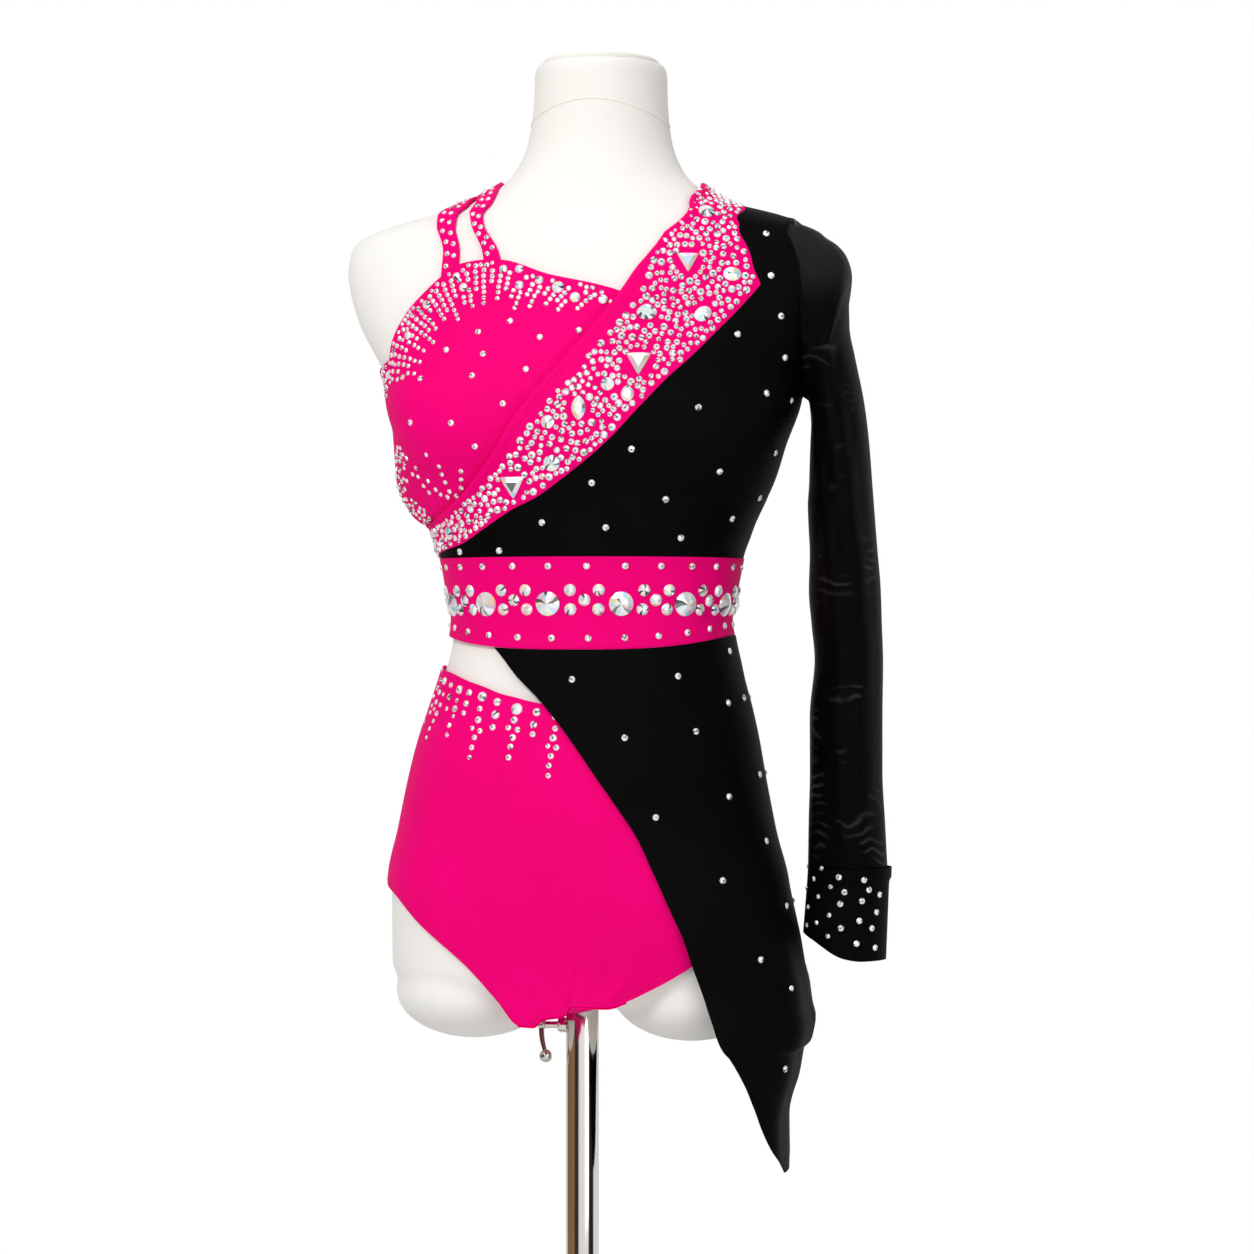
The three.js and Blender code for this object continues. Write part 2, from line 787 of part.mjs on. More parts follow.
function thigh(side) {
  const geometry = new THREE.SphereGeometry(1, 16, 8);
  geometry.rotateX(Math.PI / 2);
  geometry.scale(THIGH.halfWidth, THIGH.halfDepth, THIGH.drop);
  geometry.translate(side * THIGH.centreX, THIGH.centreY, THIGH.centreZ);
  return geometry;
}

function torsoGeometry() {
  const rings = [
    ...FORM_BOTTOM_STEPS.map(([z, scale]) => skinRing(z, scale)),
    ...FORM_HEIGHTS.map((z) => skinRing(z)),
    ...NECK_EDGE_STEPS.map(([z, scale]) => skinRing(z, scale)),
  ];
  const whole = fused(stackedRings(rings), [thigh(-1), thigh(1)]);
  const socket = turned([[SOCKET_RADIUS, CROTCH - 40], [SOCKET_RADIUS, POLE_INNER_TOP + 0.5]], 24);
  return fromManifold(toManifold(whole).subtract(toManifold(socket)));
}

addMesh('form_torso', torsoGeometry(), COVER);
addMesh('neck_cap', stackedRings(CAP_STEPS.map(([z, scale]) => skinRing(z, scale))), COVER);

// Pole stand

// A short round bar along X at the clamp's height.
function clampBar({ radius, length, x }, count) {
  const bar = new THREE.CylinderGeometry(radius, radius, length, count);
  bar.rotateZ(Math.PI / 2);
  bar.translate(x, 0, CLAMP_HEIGHT);
  return bar;
}

function polePart() {
  const post = tube(POLE_BORE_RADIUS, POLE_OUTER_RADIUS, BASE_BORE_FLOOR + SEAT_CLEARANCE, POLE_OUTER_TOP, 24);
  return fused(post, [clampBar(BOSS, 16)]);
}

function leverPart() {
  const arm = new THREE.CylinderGeometry(LEVER_ARM.endRadius, LEVER_ARM.radius, LEVER_ARM.length, 10);
  arm.rotateX(Math.PI / 2);
  arm.rotateY(LEVER_ARM.lean);
  arm.translate(LEVER_ARM.x, 0, CLAMP_HEIGHT - LEVER_ARM.drop);
  const ball = new THREE.SphereGeometry(LEVER_BALL.radius, 14, 10);
  ball.translate(LEVER_BALL.x, 0, CLAMP_HEIGHT - LEVER_BALL.drop);
  return fused(clampBar(LEVER_SHAFT, 12), [clampBar(LEVER_HUB, 12), arm, ball]);
}

function basePart() {
  const boreRadius = POLE_OUTER_RADIUS + SEAT_CLEARANCE;
  const bore = turned([[boreRadius, BASE_BORE_FLOOR], [boreRadius, 60]], 24);
  const whole = toManifold(turned(BASE_DISC_ROWS, 40)).add(toManifold(turned(BASE_BOSS_ROWS, 24)));
  return fromManifold(whole.subtract(toManifold(bore)));
}

addMesh('pole_outer', polePart(), CHROME);
const rodProfile = [[POLE_INNER_RADIUS, POLE_INNER_BOTTOM], [POLE_INNER_RADIUS, POLE_INNER_TOP]];
addMesh('pole_inner', turned(rodProfile, 24), CHROME);
addMesh('clamp_lever', leverPart(), CHROME);
addMesh('base', basePart(), BASE_METAL);

// Seams shared by the bodice's pieces

const sashRecords = records(SASH_COLUMNS, SASH_ROWS);
const sashInnerLine = [
  crestStation(SASH_CREST.innerX),
  ...sashRecords.map((row) => frontStation(row.innerU, row.innerV)),
  sideStation(RIGHT_SIDE, SASH_END.innerZ),
];
const sashOuterLine = [
  crestStation(SASH_CREST.outerX),
  ...sashRecords.map((row) => frontStation(row.outerU, row.outerV)),
  sideStation(RIGHT_SIDE, SASH_END.outerZ),
];
const armhole = records(ARMHOLE_COLUMNS, ARMHOLE_ROWS).map(({ z, angle }) => ({ angle: angle * DEG, z }));
const bodiceSideLine = [...armhole, ...BODICE_SIDE_HEIGHTS.map((z) => sideStation(LEFT_SIDE, z))];
const topOutsideLine = [
  ...TOP_ARMHOLE_ROWS.map(([u, v]) => frontStation(u, v)),
  ...TOP_SIDE_HEIGHTS.map((z) => sideStation(RIGHT_SIDE, z)),
];
const shoulderCounts = stepCounts([sashInnerLine, sashOuterLine]).slice(0, SASH_POINT_ROW);
const topCounts = stepCounts([
  sashInnerLine.slice(SASH_POINT_ROW), sashOuterLine.slice(SASH_POINT_ROW), topOutsideLine,
]);
const bodiceCounts = [...shoulderCounts, ...topCounts];
const sashInner = stepped(sashInnerLine, bodiceCounts);
const sashOuter = stepped(sashOuterLine, bodiceCounts);
const bodiceSide = stepped(bodiceSideLine, bodiceCounts);
const topOutside = stepped(topOutsideLine, topCounts);
const foldLine = stepped(sashInnerLine.slice(SASH_POINT_ROW), topCounts);

// Stones

// A faceted stone on the wall's face: its rim, its girdle and its flat table.
function stoneGeometry(station, lift, outline, height) {
  const centre = bodyPoint(station.angle, station.z, lift);
  const normal = bodyPoint(station.angle, station.z, lift + 1).sub(centre);
  const across = new THREE.Vector3(0, 0, 1).cross(normal).normalize();
  const up = normal.clone().cross(across);
  const levels = [[-0.8, 0.94], [0.9, 1], [height, 0.55]];
  return stackedRings(levels.map(([out, scale]) => outline.map(([x, y]) => centre.clone()
    .addScaledVector(across, x * scale)
    .addScaledVector(up, y * scale)
    .addScaledVector(normal, out))));
}

// An outline with one corner down, so that three sides make a triangle that points down.
function stoneOutline(halfWidth, halfHeight, sides) {
  return Array.from({ length: sides }, (_, k) => {
    const turn = (k / sides) * FULL_TURN - Math.PI / 2;
    return [halfWidth * Math.cos(turn), halfHeight * Math.sin(turn)];
  });
}

function sashStones() {
  return records(SASH_STONE_COLUMNS, SASH_STONES).map(({ u, v, halfWidth, halfHeight, sides }) => stoneGeometry(
    frontStation(u, v),
    SASH_OUTER,
    stoneOutline(halfWidth, halfHeight, sides),
    SASH_STONE_HEIGHT,
  ));
}

function bandStones() {
  return Array.from({ length: BAND_STONE_COUNT }, (_, k) => stoneGeometry(
    { angle: BAND_STONE_PHASE + (k / BAND_STONE_COUNT) * FULL_TURN, z: BAND_STONE_Z },
    BAND_OUTER,
    stoneOutline(BAND_STONE_RADIUS, BAND_STONE_RADIUS, 8),
    BAND_STONE_HEIGHT,
  ));
}

// Top, straps, sash and bodice

// How far the cup stands off the form at the wearer's right side, by height.
const topFullness = smoothCurve(TOP_FULLNESS_ROWS.map(([z]) => z), TOP_FULLNESS_ROWS.map(([, lift]) => lift));

function topOuter(angle, z) {
  const aside = Math.abs(Math.atan2(Math.sin(angle), Math.cos(angle)));
  return CLOTH_OUTER + topFullness(z) * (1 - smoothStep(TOP_FULLNESS_FROM, TOP_FULLNESS_TO, aside));
}

function topInner(angle, z) {
  return topOuter(angle, z) - WALL;
}

function plainCloth(rows) {
  return clothWall(withOpenSeams(rows), even(CLOTH_INNER), even(CLOTH_OUTER));
}

const topEdgeStations = TOP_EDGE_ROWS.map(([u, v]) => frontStation(u, v));
const topEdgeHeight = smoothCurve(topEdgeStations.map((s) => s.angle), topEdgeStations.map((s) => s.z));

// The cup's top edge as one station for each column.
function topEdge(columns) {
  const first = topEdgeStations[0].angle;
  const last = topEdgeStations[topEdgeStations.length - 1].angle;
  return Array.from({ length: columns + 1 }, (_, j) => {
    const angle = mix(first, last, j / columns);
    return { angle, z: topEdgeHeight(angle) };
  });
}

// One edge of a strap: up the front from the cup's edge, straight over the crest and down the back.
function strapEdge(front, crestX) {
  const start = { angle: front[0].angle, z: topEdgeHeight(front[0].angle) };
  const last = front[front.length - 1];
  const from = skinPoint(last.angle, last.z);
  const over = STRAP_CREST_SHARES.map((share) => (
    shoulderStation(mix(from.x, crestX, share), mix(from.y, 0, share))
  ));
  const rising = [start, ...front.slice(1), ...over];
  const falling = rising.slice(0, -1).map(({ angle, z }) => ({ angle: -angle, z })).reverse();
  return [...rising, ...falling];
}

function strapRows(rows, crest) {
  const left = strapEdge(rows.map((row) => frontStation(row[0], row[1])), crest.leftX);
  const right = strapEdge(rows.map((row) => frontStation(row[2], row[3])), crest.rightX);
  return rowsBetween(left, right, 1);
}

const TOP_COLUMNS = 9;
const topFrontRows = rowsBetween(topOutside, foldLine, TOP_COLUMNS, topEdge(TOP_COLUMNS));
const topBackRows = topFrontRows.map((row) => row.map(toBack));
const sashRows = rowsBetween(sashInner, sashOuter, 3);
const blackFrontRows = rowsBetween(sashOuter, bodiceSide, 12);
const blackBackRows = rowsBetween(sashInner.map(toBack), bodiceSide.map(toBack), 12);

addMesh('pink_top_front', clothWall(withOpenSeams(topFrontRows), topInner, topOuter), PINK);
addMesh('pink_top_back', clothWall(withOpenSeams(topBackRows), topInner, topOuter), PINK);
addMesh('strap_outer', plainCloth(strapRows(OUTER_STRAP_ROWS, OUTER_STRAP_CREST)), PINK);
addMesh('strap_inner', plainCloth(strapRows(INNER_STRAP_ROWS, INNER_STRAP_CREST)), PINK);
const sashWall = clothWall(withOpenSeams(sashRows), even(CLOTH_INNER), even(SASH_OUTER));
addMesh('sash', fused(sashWall, sashStones()), PINK);
addMesh('black_front', plainCloth(blackFrontRows), BLACK);
addMesh('black_back', plainCloth(blackBackRows), BLACK);

// Waistband

function bandBottom(angle) {
  const side = Math.abs(Math.cos(angle)) ** 3;
  return mix(WAISTBAND_BOTTOM_FRONT, WAISTBAND_BOTTOM_SIDE, side);
}

// The band's rows: its top edge, the form's own two sections behind it, and its dipping lower edge.
function bandPoints(lift) {
  const heights = [() => WAISTBAND_TOP, () => 1071, () => 1043, bandBottom];
  return heights.map((heightAt) => Array.from({ length: FORM_SEGMENTS }, (_, j) => {
    const angle = (j / FORM_SEGMENTS) * FULL_TURN;
    return bodyPoint(angle, heightAt(angle), lift);
  }));
}

addMesh('waistband', fused(wallGeometry(bandPoints(BAND_INNER), bandPoints(BAND_OUTER), true), bandStones()), PINK);

// Sleeve and cuff

// The world point seen at u and v when it lies on the plane y = 0.
function onAxisPlane(u, v) {
  return new THREE.Vector3(u / Math.cos(VIEW_YAW), 0, v);
}

// Pushes a ring's point outwards from its centre until it is clear of the form.
function clearOfForm(point, centre, clearance) {
  const outward = point.clone().sub(centre).normalize();
  const moved = point.clone();
  for (let pass = 0; pass < 12; pass += 1) {
    const missing = clearance - skinDistance(moved);
    if (missing > 0) {
      moved.addScaledVector(outward, missing + 0.1);
    }
  }
  return moved;
}

function sleeveFold(turn, ring) {
  const depth = SLEEVE_FOLD_HEIGHT * smoothStep(SLEEVE_FIRST_FOLDED_RING, SLEEVE_FIRST_FOLDED_RING + 6, ring);
  return depth * Math.cos(SLEEVE_FOLDS * turn + 0.9 + 0.12 * ring);
}

// One ring of a tube that hangs between an outer and an inner point, grown by a lift.
function hangingRing(outer, inner, halfDepth, lift, foldAt) {
  const centre = outer.clone().add(inner).multiplyScalar(0.5);
  const across = outer.clone().sub(inner).multiplyScalar(0.5);
  const halfWidth = across.length();
  across.normalize();
  return Array.from({ length: SLEEVE_SEGMENTS }, (_, j) => {
    const turn = (j / SLEEVE_SEGMENTS) * FULL_TURN;
    const wave = foldAt(turn) * Math.abs(Math.sin(turn));
    const point = centre.clone()
      .addScaledVector(across, (halfWidth + lift) * Math.cos(turn));
    point.y -= (halfDepth + lift + wave) * Math.sin(turn);
    return clearOfForm(point, centre, CLOTH_INNER + lift + WALL + 0.6);
  });
}

// The armhole seam as the sleeve's first ring, just outside the bodice's edge.
function armholeRing(lift) {
  const loop = [...armhole, ...armhole.slice(1, -1).map(toBack).reverse()];
  const points = loop.map(({ angle, z }) => bodyPoint(angle, z, CLOTH_OUTER));
  const centre = points.reduce((sum, point) => sum.add(point), new THREE.Vector3()).divideScalar(points.length);
  return points.map((point, j) => {
    const outward = point.clone().sub(centre);
    outward.x = 0;
    const placed = point.clone().addScaledVector(outward.normalize(), lift);
    const nearCrest = Math.max(0, Math.cos((j / points.length) * FULL_TURN)) ** 4;
    placed.x += 0.9 + 1.9 * nearCrest;
    return placed;
  });
}

function sleevePoints(lift) {
  const rings = records(SLEEVE_COLUMNS, SLEEVE_ROWS).map((row, i) => hangingRing(
    onAxisPlane(row.outerU, row.outerV),
    onAxisPlane(row.innerU, row.innerV),
    row.halfDepth,
    lift,
    (turn) => sleeveFold(turn, i),
  ));
  return [armholeRing(lift), ...rings];
}

const cuffHem = curvesOf(CUFF_HEM_COLUMNS, CUFF_HEM_ROWS);

function cuffPoints(lift) {
  return Array.from({ length: CUFF_ROWS }, (_, i) => {
    const share = i / (CUFF_ROWS - 1);
    const ridge = i < 2 ? 1.2 : 0;
    const outer = onAxisPlane(mix(CUFF.topOuterU, CUFF.hemOuterU, share) + ridge, CUFF_TOP);
    const inner = onAxisPlane(mix(CUFF.topInnerU, CUFF.hemInnerU, share), CUFF_TOP);
    const ring = hangingRing(outer, inner, CUFF.halfDepth + ridge, lift, () => 0);
    return ring.map((point) => {
      const hem = cuffHem.v(point.x * Math.cos(VIEW_YAW));
      const z = i < 2 ? mix(CUFF_TOP, CUFF_SEAM, i) : mix(CUFF_SEAM, hem, (i - 1) / (CUFF_ROWS - 2));
      return new THREE.Vector3(point.x, point.y, z);
    });
  });
}

addMesh('sleeve', wallGeometry(sleevePoints(-WALL), sleevePoints(0), true), MESH_BLACK);
addMesh('cuff', wallGeometry(cuffPoints(-WALL), cuffPoints(0), true), BLACK);

// Overlay

const flare = curvesOf(OVERLAY_FLARE_COLUMNS, OVERLAY_FLARE_ROWS);

function overlayOuter(angle, z) {
  const aside = Math.abs(angle - LEFT_SIDE);
  const side = 1 - smoothStep(18 * DEG, 75 * DEG, aside);
  const hanging = mix(flare.front(z), flare.side(z), side);
  const foldShare = 1 - smoothStep(OVERLAY_FOLD.full, OVERLAY_FOLD.top, z);
  const nearFold = Math.exp(-(((LEFT_SIDE - aside - OVERLAY_FOLD.angle) / OVERLAY_FOLD.width) ** 2));
  const waist = smoothStep(WAISTBAND_BOTTOM_SIDE, WAISTBAND_BOTTOM_FRONT - 22, z);
  const lift = hanging + OVERLAY_FOLD.height * foldShare * nearFold;
  return mix(OVERLAY_WAIST_INNER + WALL, lift, waist);
}

function overlayInner(angle, z) {
  return overlayOuter(angle, z) - WALL;
}

function overlayRows() {
  const edge = OVERLAY_EDGE_ROWS.map(([u, v]) => frontStation(u, v, overlayOuter));
  const side = edge.map(({ z }, i) => sideStation(LEFT_SIDE, i === 0 ? WAISTBAND_BOTTOM_SIDE : z));
  return rowsBetween(edge, side, 9);
}

// The first row follows the waistband's lower edge.
function underBand(rows) {
  const first = rows[0].map(({ angle }) => ({ angle, z: bandBottom(angle) - SEAM_GAP / 2 }));
  return [first, ...rows.slice(1)];
}

const overlayFrontRows = underBand(overlayRows());
const overlayBackRows = overlayFrontRows.map((row) => row.map(toBack));

addMesh('panel_front', clothWall(withOpenSeams(overlayFrontRows), overlayInner, overlayOuter), BLACK);
addMesh('panel_back', clothWall(withOpenSeams(overlayBackRows), overlayInner, overlayOuter), BLACK);

// Brief and gusset

function briefInner(angle, z) {
  return mix(WAIST_SEAM_INNER, CLOTH_INNER, smoothStep(WAISTBAND_BOTTOM_FRONT, WAISTBAND_BOTTOM_FRONT - 18, z));
}

function briefOuter(angle, z) {
  return briefInner(angle, z) + WALL;
}

// Columns from the top edge to the leg edge, kept below the waistband.
function briefColumns(top, bottom) {
  const capped = top.map(({ angle, z }) => ({ angle, z: Math.min(z, bandBottom(angle) - SEAM_GAP / 2) }));
  const counts = stepCounts([capped, bottom]).map((count) => Math.min(count, 4));
  return rowsBetween(stepped(capped, counts), stepped(bottom, counts), 8);
}

const briefFrontTop = [
  sideStation(RIGHT_SIDE, BRIEF_TOP_AT_RIGHT_SIDE),
  ...BRIEF_FRONT_ROWS.map(([u, v]) => frontStation(u, v)),
  sideStation(LEFT_SIDE, WAISTBAND_BOTTOM_SIDE),
];
const briefFrontLeg = [
  sideStation(RIGHT_SIDE, LEG_LINE_AT_SIDE),
  ...BRIEF_FRONT_ROWS.map((row) => frontStation(row[2], row[3])),
  sideStation(LEFT_SIDE, LEG_LINE_AT_SIDE),
];
const briefBackTop = [
  sideStation(FULL_TURN, BRIEF_TOP_AT_RIGHT_SIDE),
  ...BRIEF_BACK_ROWS.map(([x, z]) => backStation(x, z)),
  sideStation(LEFT_SIDE, WAISTBAND_BOTTOM_SIDE),
];
const briefBackLeg = [
  sideStation(FULL_TURN, LEG_LINE_AT_SIDE),
  ...BRIEF_BACK_ROWS.map((row) => backStation(row[2], row[3])),
  sideStation(LEFT_SIDE, LEG_LINE_AT_SIDE),
];

function briefCloth(top, leg) {
  return clothWall(withOpenSeams(briefColumns(top, leg)), briefInner, briefOuter);
}

addMesh('brief_front', briefCloth(briefFrontTop, briefFrontLeg), PINK);
addMesh('brief_back', briefCloth(briefBackTop, briefBackLeg), PINK);

const bottomHeight = smoothCurve(FORM_BOTTOM_STEPS.map(([, scale]) => scale), FORM_BOTTOM_STEPS.map(([z]) => z));

// Height of the form's underside over a level point.
function undersideAt(x, y) {
  const across = x / BODY.halfWidth(CROTCH);
  const depth = (y < 0 ? BODY.front(CROTCH) : BODY.back(CROTCH)) * (1 + BODY.fullness(CROTCH) * across * across);
  const trunk = bottomHeight(Math.hypot(across, y / depth));
  const aside = (Math.abs(x) - THIGH.centreX) / THIGH.halfWidth;
  const ahead = (y - THIGH.centreY) / THIGH.halfDepth;
  const left = 1 - aside * aside - ahead * ahead;
  return left > 0 ? Math.min(trunk, THIGH.centreZ - THIGH.drop * Math.sqrt(left)) : trunk;
}

const GUSSET_STEPS = 6;

// A row of the gusset that hangs on a leg edge, with its thickness out and down from the body.
function gussetEdge(stations, lift, depth) {
  return stations.map(({ angle, z }) => bodyPoint(angle, z - SEAM_GAP - depth, lift));
}

// The gusset's rows under the crotch, with soft gathers along them.
function gussetPoints(lift, depth) {
  const front = briefFrontLeg.slice(BRIEF_GUSSET_FIRST, BRIEF_GUSSET_LAST + 1);
  const back = briefBackLeg.slice(BRIEF_BACK_GUSSET_FIRST, BRIEF_BACK_GUSSET_LAST + 1);
  const strip = records(GUSSET_COLUMNS, GUSSET_ROWS).map(({ y, leftX, rightX, drop }) => (
    Array.from({ length: GUSSET_STEPS + 1 }, (_, j) => {
      const share = j / GUSSET_STEPS;
      const x = mix(leftX, rightX, share);
      const gather = j % 2 === 0 ? 0 : 1.6;
      return new THREE.Vector3(x, y, undersideAt(x, y) - drop + gather * 0.5 - depth);
    })
  ));
  return [gussetEdge(front, lift, depth), ...strip, gussetEdge(back, lift, depth)];
}

addMesh('gusset', wallGeometry(gussetPoints(CLOTH_INNER, 0), gussetPoints(CLOTH_OUTER, WALL), false), PINK);

export default model;
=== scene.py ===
# The looks of a lyrical dance dress on its dress form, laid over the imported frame.
import math

import bmesh
import bpy
import numpy as np
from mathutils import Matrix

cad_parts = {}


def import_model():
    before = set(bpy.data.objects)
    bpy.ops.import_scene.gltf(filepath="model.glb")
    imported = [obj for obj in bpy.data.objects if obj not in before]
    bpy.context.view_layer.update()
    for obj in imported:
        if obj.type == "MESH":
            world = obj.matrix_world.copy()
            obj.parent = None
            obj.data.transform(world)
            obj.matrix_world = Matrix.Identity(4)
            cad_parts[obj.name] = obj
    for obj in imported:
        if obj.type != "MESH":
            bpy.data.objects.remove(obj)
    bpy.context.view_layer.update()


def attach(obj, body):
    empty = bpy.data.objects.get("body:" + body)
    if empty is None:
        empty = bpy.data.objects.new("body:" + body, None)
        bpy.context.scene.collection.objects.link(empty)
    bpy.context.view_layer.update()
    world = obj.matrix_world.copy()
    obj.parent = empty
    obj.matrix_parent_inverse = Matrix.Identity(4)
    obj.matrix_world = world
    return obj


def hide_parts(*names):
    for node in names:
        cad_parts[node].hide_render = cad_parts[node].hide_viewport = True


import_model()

MM = 0.001
DEG = math.pi / 180
FULL_TURN = 2 * math.pi
RIGHT_SIDE = 0.0
LEFT_SIDE = math.pi

# Cloth layers in millimetres: distance from the form's skin.
CLOTH_OUTER = 3.8
SASH_INNER = 3.0
SASH_OUTER = 4.7
STRAP_OUTER = CLOTH_OUTER + 0.2
FOLD_DIP = 2.1
BAND_INNER = 1.2
BAND_OUTER = 3.5
OVERLAY_OUTER = 7
OVERLAY_WALL = 1.2
OVERLAY_WAIST = 4.6

WAISTBAND_TOP = 1093
WAISTBAND_BOTTOM_FRONT = 1018
WAISTBAND_BOTTOM_SIDE = 1029
SHOULDER_WIDEST = 1331
FORM_TOP = 1501
CROTCH = 724
LEG_LINE_AT_SIDE = 826

# The photographer's view. The tables of seams, hems and creases on the front hold places as seen
# from it on the upright plane through the axis.
VIEW_YAW = 8 * DEG
VIEW_DISTANCE = 2900
EYE_HEIGHT = 1036

BODY_COLUMNS = ["z", "half_width", "front", "back", "centre_x", "fullness"]
BODY_ROWS = [
    [560, 150, 82, 98, 0, 0.14],
    [690, 150, 82, 98, 0, 0.14],
    [722, 155.5, 86, 102, 0, 0.14],
    [745, 158.5, 88, 105, 0, 0.14],
    [793, 159, 97, 116, 0, 0.12],
    [825, 159, 102, 120, 0, 0.1],
    [870, 151, 104, 117, 1, 0.08],
    [911, 143.5, 103, 110, 2, 0.06],
    [942, 137, 100, 102, 3.5, 0.06],
    [967, 130, 96, 93, 5, 0.06],
    [994, 122, 92, 84, 6, 0.06],
    [1018, 116.5, 91, 79, 8, 0.06],
    [1043, 114, 91, 77, 8, 0.06],
    [1071, 119, 93, 78, 8, 0.06],
    [1093, 123, 96, 80, 8, 0.06],
    [1120, 131, 99, 84, 8.5, 0.06],
    [1141, 140, 101, 88, 9, 0.06],
    [1161, 148, 103, 92, 9.5, 0.06],
    [1186, 155, 105, 97, 10, 0.06],
    [1218, 167, 105, 101, 10, 0.05],
    [1240, 172, 103, 103, 10, 0.04],
    [1263, 184, 100, 104, 10, 0.02],
    [1287, 197, 95, 104, 10, 0],
    [1312, 205, 90, 102, 10, 0],
    [1331, 208, 85, 99, 10, 0],
    [1341, 206, 82, 97, 9, 0],
    [1358, 193, 76, 93, 4.5, 0],
    [1370, 163, 72, 88, 5, 0],
    [1382, 117, 68, 82, 8, 0],
    [1394, 92, 65, 76, 13, 0],
    [1405, 76, 63, 70, 14, 0],
    [1419, 66.5, 61, 64, 14.5, 0],
    [1436, 60, 60, 58, 15, 0],
    [1459, 56.5, 61, 52, 15.5, 0],
    [1485, 55, 63, 47, 16, 0],
    [1505, 55, 65, 45, 16, 0],
]
CUP_HEIGHT = 1195
CUP_RISE = 22
CUP_ANGLES = [48 * DEG, 132 * DEG]
CUP_SPREAD_ANGLE = 27 * DEG
CUP_SPREAD_UP = 56
CUP_SPREAD_DOWN = 40
THIGH = {"centre_x": 91, "centre_y": 9, "centre_z": 735, "half_width": 66, "half_depth": 84, "drop": 41}

SASH_ROWS = [
    [81, 1379, 129, 1372],
    [65, 1356, 135, 1355],
    [48, 1336, 142, 1338],
    [33, 1315, 149, 1320],
    [8, 1284, 118, 1286],
    [-17, 1256, 90, 1258],
    [-35, 1236, 69, 1239],
    [-52, 1216, 48, 1218],
    [-64, 1198, 26, 1195],
    [-76, 1179, -8, 1166],
    [-86, 1166, -38, 1144],
    [-95, 1153, -56, 1135],
    [-108, 1139, -80, 1119],
    [-121, 1128, -101, 1105],
]
SASH_CREST = [97, 120]
SASH_END = [1121, 1094]
SASH_POINT_ROW = 4
ARMHOLE_ROWS = [
    [1369, 180],
    [1365, 160],
    [1355, 148],
    [1339, 145],
    [1320, 146.5],
    [1297, 150.5],
    [1275, 158],
    [1256, 167],
    [1240, 174],
    [1230, 178.5],
    [1226, 180],
]
BODICE_SIDE_HEIGHTS = [1200, 1174, 1147, 1120, 1094]
TOP_ARMHOLE_ROWS = [
    [-117, 1326],
    [-132, 1312],
    [-143, 1300],
    [-152, 1286],
    [-158, 1272],
    [-160, 1258],
]
TOP_SIDE_HEIGHTS = [1240, 1218, 1194, 1165, 1140, 1123]
TOP_FULLNESS_ROWS = [[1123, 5], [1135, 11], [1153, 13], [1171, 9.3], [1184, 5.8], [1200, 0]]
TOP_FULLNESS_FROM = 10 * DEG
TOP_FULLNESS_TO = 46 * DEG
TOP_EDGE_ROWS = [
    [-117, 1326],
    [-103, 1336],
    [-81, 1340],
    [-67, 1340],
    [-26, 1328],
    [9, 1321],
    [33, 1315],
]
OUTER_STRAP_ROWS = [
    [-117, 1328, -103, 1337],
    [-115, 1342, -101, 1350],
    [-111, 1358, -98, 1364],
    [-108, 1371, -93, 1377],
]
OUTER_STRAP_CREST = [-105, -84.6]
INNER_STRAP_ROWS = [
    [-81, 1342, -67, 1342],
    [-82, 1356, -69, 1358],
    [-83, 1370, -71, 1374],
    [-83.5, 1381, -70, 1389],
]
INNER_STRAP_CREST = [-84.2, -64]
STRAP_CREST_SHARES = [0.3, 0.6, 0.8, 1]
BRIEF_FRONT_ROWS = [
    [-109, 997, -157, 816],
    [-96, 991, -132, 787],
    [-82, 986, -97, 756],
    [-67, 980, -72, 728],
    [-55, 977, -53, 706],
    [-44, 974, -40, 705],
    [-32, 972, -31, 711],
    [-16, 978, -14, 714],
    [2, 990, -7, 721],
    [20, 1004, 21, 720],
    [38, 1013, 38, 725],
    [56, 1017, 61, 736],
    [80, 1018, 93, 755],
    [105, 1022, 126, 784],
]
BRIEF_TOP_AT_RIGHT_SIDE = 1003
BRIEF_GUSSET = [5, 11]
BRIEF_BACK_ROWS = [
    [-106, 999, -152, 808],
    [-92, 999, -126, 778],
    [-74, 1002, -98, 752],
    [-54, 1008, -72, 732],
    [-32, 1014, -46, 718],
    [-12, 1017, -28, 714],
    [8, 1017.5, -8, 714],
    [28, 1017.5, 14, 714],
    [50, 1017.5, 38, 717],
    [72, 1018, 66, 730],
    [92, 1020, 98, 752],
    [108, 1023.5, 130, 782],
]
BRIEF_BACK_GUSSET = [4, 10]
GUSSET_ROWS = [
    [-66, -47, 24, 3],
    [-46, -42, -2, 3],
    [-24, -35, -16.5, 2.4],
    [0, -33, -16, 2.4],
    [24, -35, -16.5, 2.4],
    [48, -40, 2, 3],
    [76, -44, 26, 3],
]
OVERLAY_EDGE_ROWS = [
    [-73, 1017],
    [-60, 1001],
    [-47, 987],
    [-33, 972],
    [-11, 944],
    [10, 914],
    [29, 887],
    [48, 858],
    [60, 832],
    [72, 806],
    [85, 778],
    [93, 755],
    [104, 724],
    [115, 694],
    [130, 667],
    [145, 634],
    [160, 599],
    [169, 583],
]
OVERLAY_FLARE_COLUMNS = ["z", "side", "front"]
